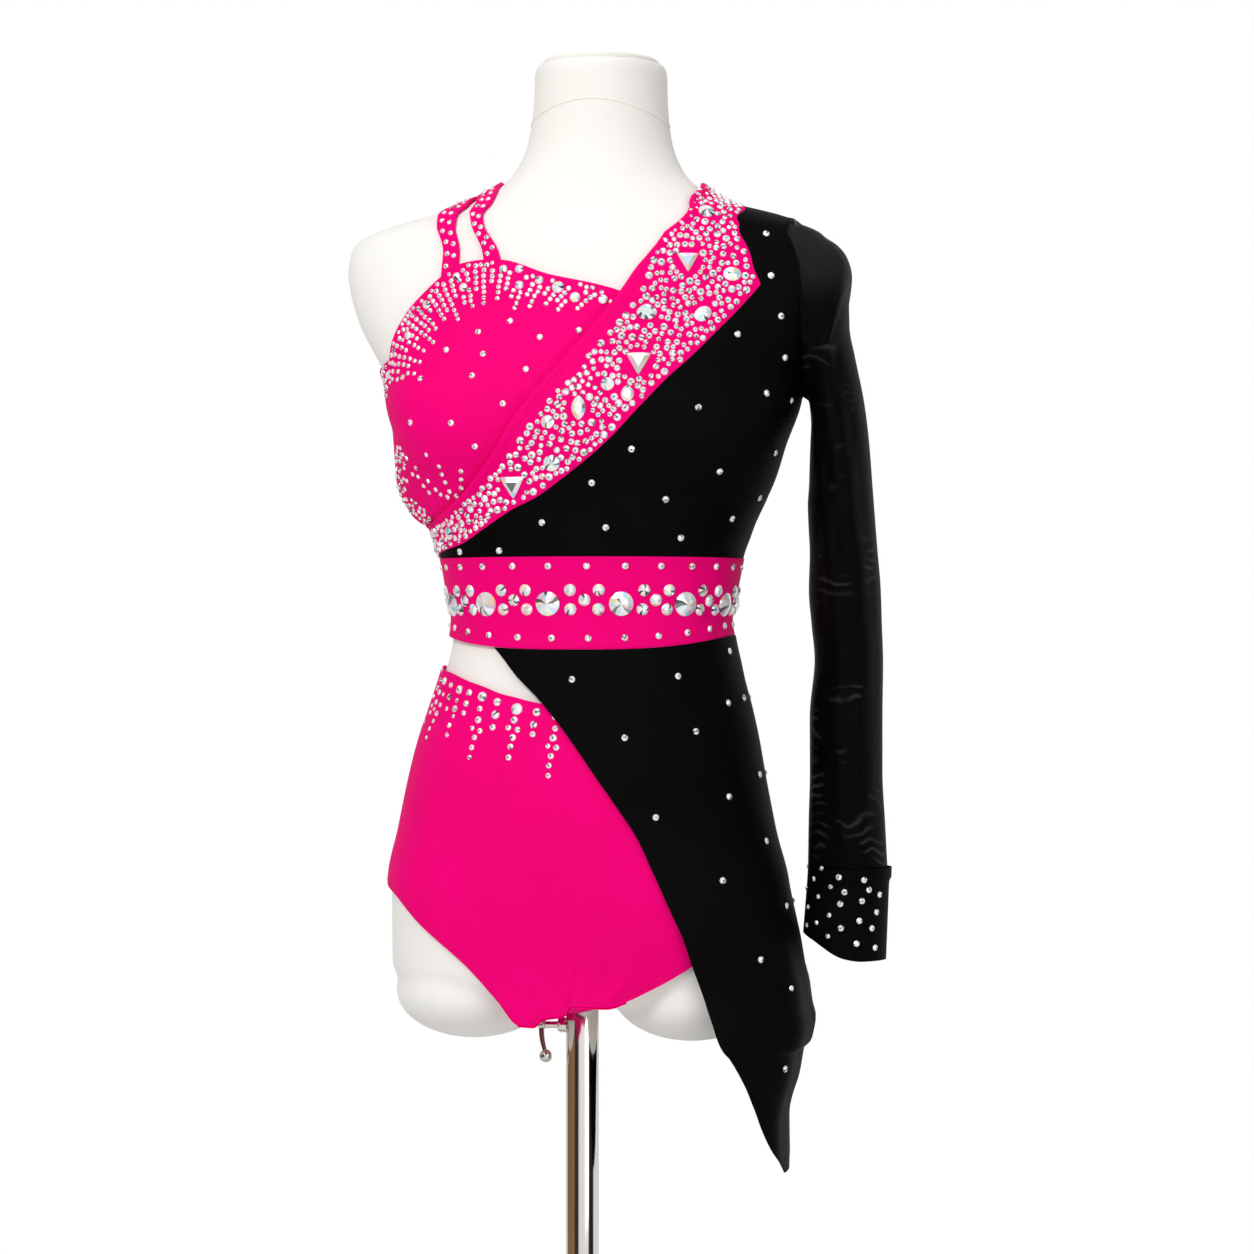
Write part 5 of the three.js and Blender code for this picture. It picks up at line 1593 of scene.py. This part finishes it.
class Stones:
    """Gathers stones for one piece of cloth and makes them one mesh."""

    def __init__(self, name, seed):
        self.name = name
        self.random = np.random.default_rng(seed)
        self.rows = []

    def add(self, cut, point, normal, half_width, half_height=None, spin=None):
        spin = self.random.uniform(0, FULL_TURN) if spin is None else spin
        self.rows.append((cut, point, normal, half_width, half_height or half_width, spin))

    def add_on_body(self, cut, stations, lift, half_width, half_height=None, spin=None):
        stations = np.atleast_2d(stations)
        points = body_point(*parts(stations), np.broadcast_to(lift, len(stations)))
        normals = body_normal(*parts(stations))
        widths = np.broadcast_to(half_width, len(stations))
        for point, normal, width in zip(points, normals, widths):
            self.add(cut, point, normal, float(width), half_height, spin)

    def painted_glints(self, cut, wedges):
        """The painted reflections on a stone's facets: mostly white, with some pastel and a dark glint."""
        count = wedges.max() + 1
        pick = self.random.random(count)
        pastel = 0.1 if cut == "small" else 0.5
        dark = 0.06 if cut == "small" else 0.13
        coloured = self.random.uniform(0.56, 0.97, count)
        level = np.where(pick < pastel, coloured, self.random.uniform(0.28, 0.52, count))
        level = np.where(pick > 1 - dark, self.random.uniform(0.0, 0.14, count), level)
        # Small stones: one side painted as a dark glint, and the table painted a dark or grey centre in place
        # of its reflection.
        if cut == "small":
            glint = self.random.integers(0, count - 1)
            level[glint] = self.random.uniform(0.08, 0.19)
            level[-1] = self.random.choice([0.1, 0.05, 0.14, 0.4], p=[0.4, 0.25, 0.2, 0.15])
        return np.clip(level[wedges] + self.random.uniform(-0.03, 0.03, len(wedges)), 0, 1)

    def made(self, body):
        points, faces, painted_glints = [], [], []
        start = 0
        for cut, centre, normal, half_width, half_height, spin in self.rows:
            shape, cuts, wedges = STONE_CUTS[cut]
            across = np.cross([0, 0, 1], normal)
            across = across / max(np.linalg.norm(across), 1e-6)
            up = np.cross(normal, across)
            x = shape[:, 0] * half_width
            y = shape[:, 1] * half_height
            turned_x = x * math.cos(spin) - y * math.sin(spin)
            turned_y = x * math.sin(spin) + y * math.cos(spin)
            depth = shape[:, 2] * min(half_width, half_height)
            flat = centre + across * turned_x[:, None] + up * turned_y[:, None]
            points.append(flat + normal * depth[:, None])
            faces += [[start + k for k in face] for face in cuts]
            painted_glints.append(self.painted_glints(cut, wedges))
            start += len(shape)
        piece = new_object(self.name, np.concatenate(points), faces, None, CRYSTAL)
        # Each face's painted reflection level, which the crystal material turns into colour.
        painted_glint_layer = piece.data.attributes.new("painted_facet_glint", "FLOAT", "FACE")
        painted_glint_layer.data.foreach_set("value", np.concatenate(painted_glints).astype(np.float32))
        return finish_piece(piece, body, "crystal")


PIXEL = 0.83


def px(x, y):
    """Measuring-plane places from picture columns and rows."""
    return (np.asarray(x, float) - 582) * PIXEL, EYE_HEIGHT + (627 - np.asarray(y, float)) * PIXEL


def front_places(rows, lift_at=cloth_lift):
    table = np.array(rows, float)
    u, v = px(*parts(table))
    return front_stations(u, v, lift_at)


CUP_STONES = [
    [479, 333], [511, 322], [541, 338], [580, 331], [447, 351], [484, 355], [473, 377], [527, 370],
    [421, 380], [504, 404], [411, 422], [452, 423], [476, 445], [403, 378],
]
BODICE_STONES = [
    [767, 236], [772, 276], [782, 316], [739, 335], [786, 357], [768, 394], [792, 400], [700, 408],
    [633, 448], [776, 451], [721, 469], [593, 482], [760, 496], [667, 498], [733, 517], [543, 522],
    [607, 527], [682, 537], [500, 550], [460, 551],
]
OVERLAY_STONES = [
    [573, 680], [679, 677], [730, 652], [626, 739], [697, 733], [729, 705], [744, 700], [657, 818],
    [730, 798], [760, 776], [767, 843], [724, 881], [787, 906], [762, 958], [792, 987], [786, 1069],
]
SASH_FANCY = [
    ["round", 707, 215, 8, 8], ["triangle", 689, 262, 12, 12], ["round", 733, 275, 9, 7],
    ["pear", 648, 313, 10, 8], ["round", 704, 315, 9, 7], ["triangle", 640, 363, 14, 14],
    ["pear", 629, 394, 6.5, 8], ["marquise", 580, 408, 7, 12], ["round", 609, 385, 6.5, 6.5],
    ["round", 549, 422, 6.5, 6.5], ["round", 553, 462, 8, 8], ["triangle", 514, 484, 14, 14],
    ["round", 450, 532, 6.5, 6.5],
]
CUFF_STONES = [
    [811, 861], [822, 867], [814, 879], [807, 888], [819, 897], [809, 907], [807, 925], [817, 923],
    [840, 877], [832, 887], [846, 892], [840, 904], [830, 915], [842, 928], [829, 936], [864, 880],
    [869, 890], [880, 895], [862, 901], [877, 912], [860, 921], [872, 928], [858, 944], [875, 948],
]


def spread(stations, radii, taken, taken_radii, gap):
    """Keeps the stations whose stones clear each other and those already set."""
    points = skin_point(*parts(stations))
    kept = []
    placed = np.array(taken, float).reshape(-1, 3)
    sizes = np.array(taken_radii, float)
    for k, point in enumerate(points):
        near = np.linalg.norm(placed - point, axis=-1) - sizes if len(placed) else np.array([99.0])
        if (near > radii[k] + gap).all():
            kept.append(k)
            placed = np.vstack([placed, point])
            sizes = np.append(sizes, radii[k])
    return kept


def grid_place(grid, down, along):
    """Stations at shares down and along a grid."""
    rows, columns = grid.shape[:2]
    i = np.clip(down * (rows - 1), 0, rows - 1.001)
    j = np.clip(along * (columns - 1), 0, columns - 1.001)
    i0, j0 = i.astype(int), j.astype(int)
    s, t = (i - i0)[:, None], (j - j0)[:, None]
    upper = grid[i0, j0] * (1 - t) + grid[i0, j0 + 1] * t
    lower = grid[i0 + 1, j0] * (1 - t) + grid[i0 + 1, j0 + 1] * t
    return upper * (1 - s) + lower * s


def edge_distance(stations, line):
    """Distance in millimetres from stations to the nearest point of a line of stations."""
    points = skin_point(*parts(stations))
    border = skin_point(*parts(line))
    return np.min(np.linalg.norm(points[:, None] - border[None], axis=-1), axis=1)


def sash_stones():
    stones = Stones("sash_stones", 11)
    taken, sizes = [], []
    for cut, x, y, half_width, half_height in SASH_FANCY:
        station = front_places([[x, y]])
        width, height = half_width * PIXEL, half_height * PIXEL
        upright = cut in ("triangle", "marquise", "pear")
        stones.add_on_body(cut if cut != "round" else "rivoli", station, SASH_OUTER, width, height,
                           0.0 if upright else None)
        taken.append(skin_point(station[0, 0], station[0, 1]))
        sizes.append(max(width, height) * 0.9)
    random = np.random.default_rng(5)
    count = 9000
    down = random.uniform(0.0, 0.995, count)
    along = random.uniform(0.02, 0.98, count)
    stations = grid_place(sash_grid, down, along)
    radii = random.choice([2.9, 2.4, 1.9], count, p=[0.2, 0.5, 0.3])
    inner = edge_distance(stations, sash_inner)
    outer = edge_distance(stations, sash_outer)
    height = stations[:, 1]
    margin = mix(4.0, 15.0, smooth_step(1345, 1300, height))
    margin = mix(margin, 7.0, smooth_step(1190, 1130, height))
    keep = (inner > margin) & (outer > radii + 1.6)
    stations, radii = stations[keep], radii[keep]
    kept = spread(stations, radii, taken, sizes, 0.3)
    stones.add_on_body("small", stations[kept], SASH_OUTER - 0.1, 1.12 * radii[kept])
    return stones.made("form")


CUP_BORDER = [
    [386, 380], [387, 360], [391, 343], [399, 326], [410, 309], [423, 295], [441, 280], [458, 270],
    [485, 265], [501, 265], [525, 271], [551, 279], [580, 286], [604, 292],
]
CUP_SPOKE_CENTRE = [486, 384]
CUP_SPOKE_COUNTS = [
    3, 5, 4, 6, 3, 6, 4, 7, 5, 6, 3, 6, 5, 8, 4, 6, 7, 4, 7, 3, 6, 4, 5, 7, 4, 6, 3, 5, 4, 6,
]
CUP_SPOKE_STEP = 9.2
CUP_BIG_STONES = [
    [457, 277, 3.8], [464, 288, 4.4], [504, 270, 4.2], [520, 270, 4.2], [520, 286, 4.4], [540, 281, 4.2],
    [559, 288, 6], [576, 298, 5.2], [604, 300, 4.6], [427, 305, 4.4], [408, 336, 4.2], [388, 375, 4],
]
CUP_LOW_DRIPS = [
    [462, 469], [462, 477.5], [462, 486], [457, 494], [450, 489.5], [448, 495], [440, 464], [442.5, 472],
    [446, 480], [427, 452.5], [416.5, 465], [418.5, 473], [424, 482], [428.5, 478], [429.5, 489], [407, 455],
    [407, 475], [413, 470], [405, 482], [436, 487], [441, 492],
]
CUP_LOW_BORDER = [[401, 452], [399, 466], [399, 480], [404, 492], [413, 501], [423, 512], [428, 520]]


def walked(points, step):
    """Points at even steps along a line of points."""
    points = np.array(points, float)
    length = run_along(points)
    at = np.arange(0, length[-1], step)
    return np.stack([np.interp(at, length, points[:, k]) for k in (0, 1)], -1)


def cup_stones():
    stones = Stones("cup_stones", 12)
    random = np.random.default_rng(6)
    rows = [[x, y, 3.2] for x, y in CUP_STONES]
    rows += [[x, y, 2.6] for x, y in CUP_LOW_DRIPS]
    centre = np.array(CUP_SPOKE_CENTRE, float)

    def set_on_cup(cut, stations, radii):
        stones.add_on_body(cut, stations, top_lift(*parts(stations)), radii)

    for start, count in zip(walked(CUP_BORDER, CUP_SPOKE_STEP), CUP_SPOKE_COUNTS * 2):
        ahead = (centre - start) / np.linalg.norm(centre - start)
        for k in range(count):
            place = start + ahead * (6.5 + 5.4 * k) + random.uniform(-0.5, 0.5, 2)
            rows.append([*place, 2.7 - 0.07 * k])
    table = np.array(rows)
    big = np.array(CUP_BIG_STONES)
    big_places = front_places(big[:, :2], top_lift)
    places = front_places(table[:, :2], top_lift)
    sizes = table[:, 2] * PIXEL
    clear = spread(places, sizes, skin_point(*parts(big_places)), big[:, 2] * 0.8, -0.6)
    set_on_cup("round", big_places, big[:, 2] * PIXEL)
    set_on_cup("small", places[clear], sizes[clear])
    taken = np.concatenate([skin_point(*parts(big_places)),
                            skin_point(*parts(places[clear]))])
    taken_sizes = np.concatenate([big[:, 2] * 0.8, sizes[clear]])
    count = 7000
    stations = grid_place(top_front_grid, random.uniform(0, 0.999, count), random.uniform(0, 0.999, count))
    radii = random.choice([2.3, 2.0, 1.7], count, p=[0.25, 0.5, 0.25])
    from_top = edge_distance(stations, top_front_grid[0])
    upper = front_places(CUP_BORDER[:6], top_lift)
    lower = front_places(CUP_LOW_BORDER, top_lift)
    from_side = edge_distance(stations, fine_line(upper, 6))
    from_low = edge_distance(stations, fine_line(lower, 6))
    border = edge_distance(stations, top_outside)
    near = (from_top < 13) | (from_side < 14) | (from_low < 9)
    keep = near & (from_top > radii + 1.2) & (border > radii + 0.6)
    stations, radii = stations[keep], radii[keep]
    kept = spread(stations, radii, taken, taken_sizes, 0.1)
    set_on_cup("small", stations[kept], radii[kept])
    return stones.made("form")


def strap_stones():
    stones = Stones("strap_stones", 13)
    for grid in (outer_strap_grid, inner_strap_grid):
        middle = skin_point(grid[:, 5, 0], grid[:, 5, 1])
        length = run_along(middle)
        at = np.arange(7, length[-1] - 6, 5.2)
        down = np.interp(at, length, np.linspace(0, 1, len(length)))
        along = np.where(np.arange(len(at)) % 2 == 0, 0.3, 0.72)
        stones.add_on_body("small", grid_place(grid, down, along), STRAP_OUTER, 2.2)
    return stones.made("form")


def scattered_stones():
    stones = Stones("scattered_stones", 14)
    bodice = front_places(BODICE_STONES)
    stones.add_on_body("small", bodice, CLOTH_OUTER, 2.9)
    overlay = front_places(OVERLAY_STONES, overlay_lift)
    stones.add_on_body("small", overlay, overlay_lift(*parts(overlay)), 2.9)
    back = to_back(bodice[(bodice[:, 0] < 170 * DEG)])
    stones.add_on_body("small", back, CLOTH_OUTER, 2.9)
    behind = to_back(overlay[overlay[:, 0] < 170 * DEG])
    stones.add_on_body("small", behind, overlay_lift(*parts(behind)), 2.9)
    return stones.made("form")


def cuff_stones():
    stones = Stones("cuff_stones", 17)
    rings = cuff_rings(0.0, 120)
    around = np.roll(rings, -1, axis=1) - np.roll(rings, 1, axis=1)
    normals = np.cross(np.gradient(rings, axis=0), around)
    normals /= np.linalg.norm(normals, axis=-1, keepdims=True)
    outward = rings - rings.mean(axis=1, keepdims=True)
    normals *= np.sign((normals * outward).sum(axis=-1, keepdims=True))
    u, v, _ = seen_at(rings)
    front = rings[..., 1] < 0
    for x, y in CUFF_STONES:
        at_u, at_v = px(x, y)
        miss = np.where(front, (u - at_u) ** 2 + (v - at_v) ** 2, 1e9)
        i, j = np.unravel_index(miss.argmin(), miss.shape)
        radius = 2.1 if x < 835 else 2.7
        stones.add("small", rings[i, j], normals[i, j], radius)
        mirrored = (-j) % SLEEVE_SEGMENTS
        stones.add("small", rings[i, mirrored], normals[i, mirrored], radius)
    return stones.made("form")


BAND_STONE_COUNT = 13
BAND_STONE_PHASE = 24.5 * DEG


def band_stones():
    stones = Stones("band_stones", 15)
    step = FULL_TURN / BAND_STONE_COUNT
    for k in range(BAND_STONE_COUNT):
        middle = BAND_STONE_PHASE + k * step
        stones.add_on_body("rivoli", [[middle, 1055]], BAND_OUTER, 10)
        between = [[0.31, 8], [0.69, 8], [0.5, 0], [0.31, -7.6], [0.69, -7.6]]
        for share, rise in between:
            stones.add_on_body("round", [[middle + share * step, 1058 + rise]], BAND_OUTER, 5)
        for share in (0.03, 0.53):
            stones.add_on_body("small", [[middle + share * step, 1085.5]], BAND_OUTER, 2.9)
            angle = middle + (share + 0.02) * step
            stones.add_on_body("small", [[angle, float(band_bottom(angle)) + 9]], BAND_OUTER, 2.9)
    return stones.made("form")


# The drips under the brief's top edge, as columns of picture column, row and radius.
DRIP_COLUMNS = [
    [[556.2, 717.8, 3.2], [556.4, 729.4, 3.2], [554.3, 738.8, 3.8], [549, 746.6, 2.6], [557.4, 748.3, 3.2],
     [552, 756.7, 3.2], [550, 766.2, 3], [549.4, 776, 2.8]],
    [[537.8, 713, 4.2], [534.7, 725.6, 3.8], [533.8, 735, 3.2]],
    [[517.9, 710, 6.2], [515.3, 721, 3.8], [509.4, 728.7, 3], [518.7, 730.8, 3.2], [513.6, 738.4, 3.6],
     [511.5, 747.3, 3.2], [509.6, 758.2, 3.2]],
    [[498.3, 703, 4.2], [496.4, 715.7, 4.6], [493.6, 728.3, 3.4]],
    [[483.1, 697.8, 5.2], [480.6, 709.8, 3.2], [479.1, 721, 3.8], [473, 729.2, 2.6], [480.8, 731.9, 3],
     [475.3, 738.4, 3], [472.6, 748.3, 3], [470.5, 758.2, 2.6]],
    [[469.9, 693.8, 3.6], [466.9, 704.7, 3.4], [464.2, 714.2, 3]],
    [[460, 690.9, 4.6], [457.4, 701.6, 2.4], [455.3, 710, 3.6], [453.9, 717.4, 2.2], [449.7, 726.6, 3],
     [447.6, 735.9, 2.6]],
    [[451.3, 686.2, 3.2], [449.5, 698.4, 3.4], [447.1, 710, 2.4]],
    [[444.8, 682.4, 4.2], [443.6, 695.7, 2.2], [440.6, 706.2, 2.6], [437, 715, 3], [433.5, 722.4, 2.4],
     [429.7, 730, 2.4], [426.5, 738.9, 2.2]],
    [[441, 681.6, 3], [439.6, 693.6, 3.2], [436.4, 703.5, 3], [434.3, 710.4, 2.2], [430.5, 713.6, 2.6],
     [424.6, 723, 2.2]],
    [[437.9, 689.4, 3], [433.7, 697.8, 2.6], [432, 706.9, 2.2]],
    [[441.5, 671.5, 2.6]],
]


def drip_stones():
    stones = Stones("brief_stones", 16)
    for column in DRIP_COLUMNS:
        places = front_places([row[:2] for row in column])
        radii = np.array([row[2] for row in column]) * PIXEL
        for stations in (places, to_back(places)):
            stones.add_on_body("small", stations, CLOTH_OUTER, radii)
    return stones.made("form")


# Sewing

def stitches(name, stations, lift, length, gap, material, slot):
    """A row of short stitches along a line of stations."""
    line = body_point(*parts(stations), np.broadcast_to(lift, len(stations)))
    normal = body_normal(*parts(stations))
    run = run_along(line)
    starts = np.arange(0, run[-1] - length, length + gap)

    def at(table, distance):
        return np.stack([np.interp(distance, run, table[:, k]) for k in range(3)], -1)

    points = []
    faces = []
    for n, begin in enumerate(starts):
        first, last = at(line, begin), at(line, begin + length)
        up = at(normal, begin + length / 2)
        ahead = (last - first) / max(np.linalg.norm(last - first), 1e-6)
        side = np.cross(up, ahead) * 0.24
        ring = [first + side, first - side, last - side, last + side]
        inset = [corner * 0.86 + (first + last) / 2 * 0.14 + up * 0.22 for corner in ring]
        points += ring + inset
        k = n * 8
        faces += [[k + a for a in face] for face in (
            [0, 1, 2, 3], [7, 6, 5, 4], [0, 4, 5, 1], [1, 5, 6, 2], [2, 6, 7, 3], [3, 7, 4, 0])]
    return finish_piece(new_object(name, points, faces, 180, material), "form", slot)


def sewing():
    angle = np.linspace(0, FULL_TURN, 500)
    top = np.stack([angle, np.full(500, WAISTBAND_TOP - 5.0)], -1)
    low = np.stack([angle, band_bottom(angle) + 5.0], -1)
    rows = [
        stitches("stitch_a", top, BAND_OUTER + 0.05, 2.2, 1.4, STITCH_PINK, "pink_fabric"),
        stitches("stitch_b", low, BAND_OUTER + 0.05, 2.2, 1.4, STITCH_PINK, "pink_fabric"),
    ]
    for n, line in enumerate(edges[1] for edges in brief_edges.values()):
        leg = fine_line(line, 30)
        raised = leg + np.array([0, 4.2])
        rows.append(stitches(f"stitch_leg_{n}", raised, brief_lift(raised[:, 1]) + 0.05, 2.2, 1.2,
                             STITCH_PINK, "pink_fabric"))
    return joined("pink_stitches", rows)


def black_seams():
    """The overlocked seams at the sleeve's head and along the bodice's waist."""
    line = fine_line(armhole_knots, 12)
    loop = np.concatenate([line, to_back(line[1:-1])[::-1], line[:1]])
    armhole = tube_along("armhole_seam", body_point(*parts(loop), np.full(len(loop), 3.3)),
                         body_normal(*parts(loop)), 1.9, 1.0, BLACK)
    waist = []
    for grid in (black_front_grid, black_back_grid):
        row = grid[-1]
        height = np.full(len(row), WAISTBAND_TOP + 0.5)
        waist.append(tube_along("waist_seam", body_point(row[:, 0], height, np.full(len(row), 2.5)),
                                body_normal(row[:, 0], height), 0.9, 0.8, BLACK))
    finish_piece(joined("black_seams", [armhole, *waist]), "form", "black_fabric")


# Floor, lights and camera

def floor_material():
    nodes = Nodes("floor")
    where = nodes.where()
    nodes.colour(nodes.noise(where, 3, 2), [(0.3, (0.86, 0.86, 0.86)), (0.7, (0.88, 0.88, 0.88))])
    nodes.put(Roughness=0.8)
    return nodes.owner


def floor():
    side = 1700
    corners = [[-side, -side, -1], [side, -side, -1], [side, side, -1], [-side, side, -1]]
    new_object("floor", corners, [[0, 1, 2, 3]], None, floor_material())


def area_light(name, place, target, size, power, colour=(1, 1, 1)):
    light = bpy.data.lights.new(name, "AREA")
    light.shape = "RECTANGLE"
    light.size, light.size_y = size
    light.energy = power
    light.color = colour
    lamp = bpy.data.objects.new(name, light)
    bpy.context.collection.objects.link(lamp)
    lamp.location = place
    direction = np.array(target, float) - np.array(place, float)
    lamp.rotation_euler = (
        math.acos(-direction[2] / np.linalg.norm(direction)),
        0,
        math.atan2(-direction[0], direction[1]),
    )


WORLD_LEVEL = 0.55

# What polished metal and stones reflect round the studio, by share of a turn.
WORLD_BANDS = [
    [0.0, (0.95, 0.94, 0.92)], [0.045, (0.8, 0.78, 0.75)], [0.057, (0.03, 0.03, 0.03)],
    [0.125, (0.05, 0.04, 0.035)],
    [0.14, (0.3, 0.16, 0.08)], [0.31, (0.26, 0.14, 0.07)], [0.335, (0.8, 0.78, 0.75)], [0.5, (0.9, 0.9, 0.9)],
    [0.74, (0.9, 0.89, 0.88)], [0.757, (0.02, 0.02, 0.02)], [0.845, (0.02, 0.02, 0.02)],
    [0.865, (0.9, 0.89, 0.87)],
    [1.0, (0.95, 0.94, 0.92)],
]


def world():
    """Even light for cloth, bands round the studio for reflections, and white behind it all."""
    nodes = Nodes("studio", bpy.data.worlds)
    bpy.context.scene.world = nodes.owner
    even = nodes.tree.nodes["Background"]
    even.inputs["Color"].default_value = (1, 0.99, 0.975, 1)
    even.inputs["Strength"].default_value = WORLD_LEVEL
    split = nodes.node("ShaderNodeSeparateXYZ")
    nodes.link(nodes.node("ShaderNodeTexCoord").outputs["Generated"], split.inputs["Vector"])
    share = nodes.node("ShaderNodeMapRange")
    share.inputs["From Min"].default_value = -math.pi
    share.inputs["From Max"].default_value = math.pi
    nodes.link(nodes.math("ARCTAN2", split.outputs["X"], split.outputs["Y"]), share.inputs["Value"])
    bands = nodes.node("ShaderNodeBackground")
    nodes.link(nodes.ramp(share.outputs["Result"], WORLD_BANDS), bands.inputs["Color"])
    white = nodes.node("ShaderNodeBackground")
    white.inputs["Color"].default_value = (1, 1, 1, 1)
    ray = nodes.node("ShaderNodeLightPath")

    def chosen(kind, otherwise, shader):
        made = nodes.node("ShaderNodeMixShader")
        nodes.link(ray.outputs[kind], made.inputs["Fac"])
        nodes.link(otherwise, made.inputs[1])
        nodes.link(shader, made.inputs[2])
        return made.outputs["Shader"]

    lit = chosen("Is Glossy Ray", even.outputs["Background"], bands.outputs["Background"])
    seen = chosen("Is Camera Ray", lit, white.outputs["Background"])
    nodes.link(seen, nodes.tree.nodes["World Output"].inputs["Surface"])


def camera():
    data = bpy.data.cameras.new("camera")
    data.sensor_width = 36
    data.lens = 36 * 2.9 / 1.041
    lens = bpy.data.objects.new("camera", data)
    bpy.context.collection.objects.link(lens)
    back = 2.9
    shift = 0.037
    lens.location = (
        math.sin(VIEW_YAW) * back + math.cos(VIEW_YAW) * shift,
        -math.cos(VIEW_YAW) * back + math.sin(VIEW_YAW) * shift,
        EYE_HEIGHT * MM,
    )
    lens.rotation_euler = (math.pi / 2, 0, VIEW_YAW)
    bpy.context.scene.camera = lens


bpy.context.scene.view_settings.view_transform = "Standard"
torso()
neck_cap()
form_seams()
pole_pieces()
lever_pieces()
base_piece()
cloth = bodice_pieces()
cloth["waistband"] = waistband()
cloth["sleeve"] = sleeve()
cloth["cuff"] = cuff()
cloth.update(overlay_pieces())
cloth.update(brief_pieces())
cloth["gusset"] = gusset()
stones = {
    "sash_stones": sash_stones(),
    "cup_stones": cup_stones(),
    "strap_stones": strap_stones(),
    "scattered_stones": scattered_stones(),
    "band_stones": band_stones(),
    "brief_stones": drip_stones(),
    "cuff_stones": cuff_stones(),
}
sewing()
black_seams()
floor()
area_light("key", (-0.9, -2.9, 2.9), (0, 0, 1.05), (1.1, 1.1), 62)
area_light("fill", (2.2, -2.6, 1.5), (0, 0, 1.0), (1.6, 2.2), 16)
area_light("top", (-0.3, -0.4, 3.4), (0, 0, 1.2), (2.0, 2.0), 6)
world()
camera()
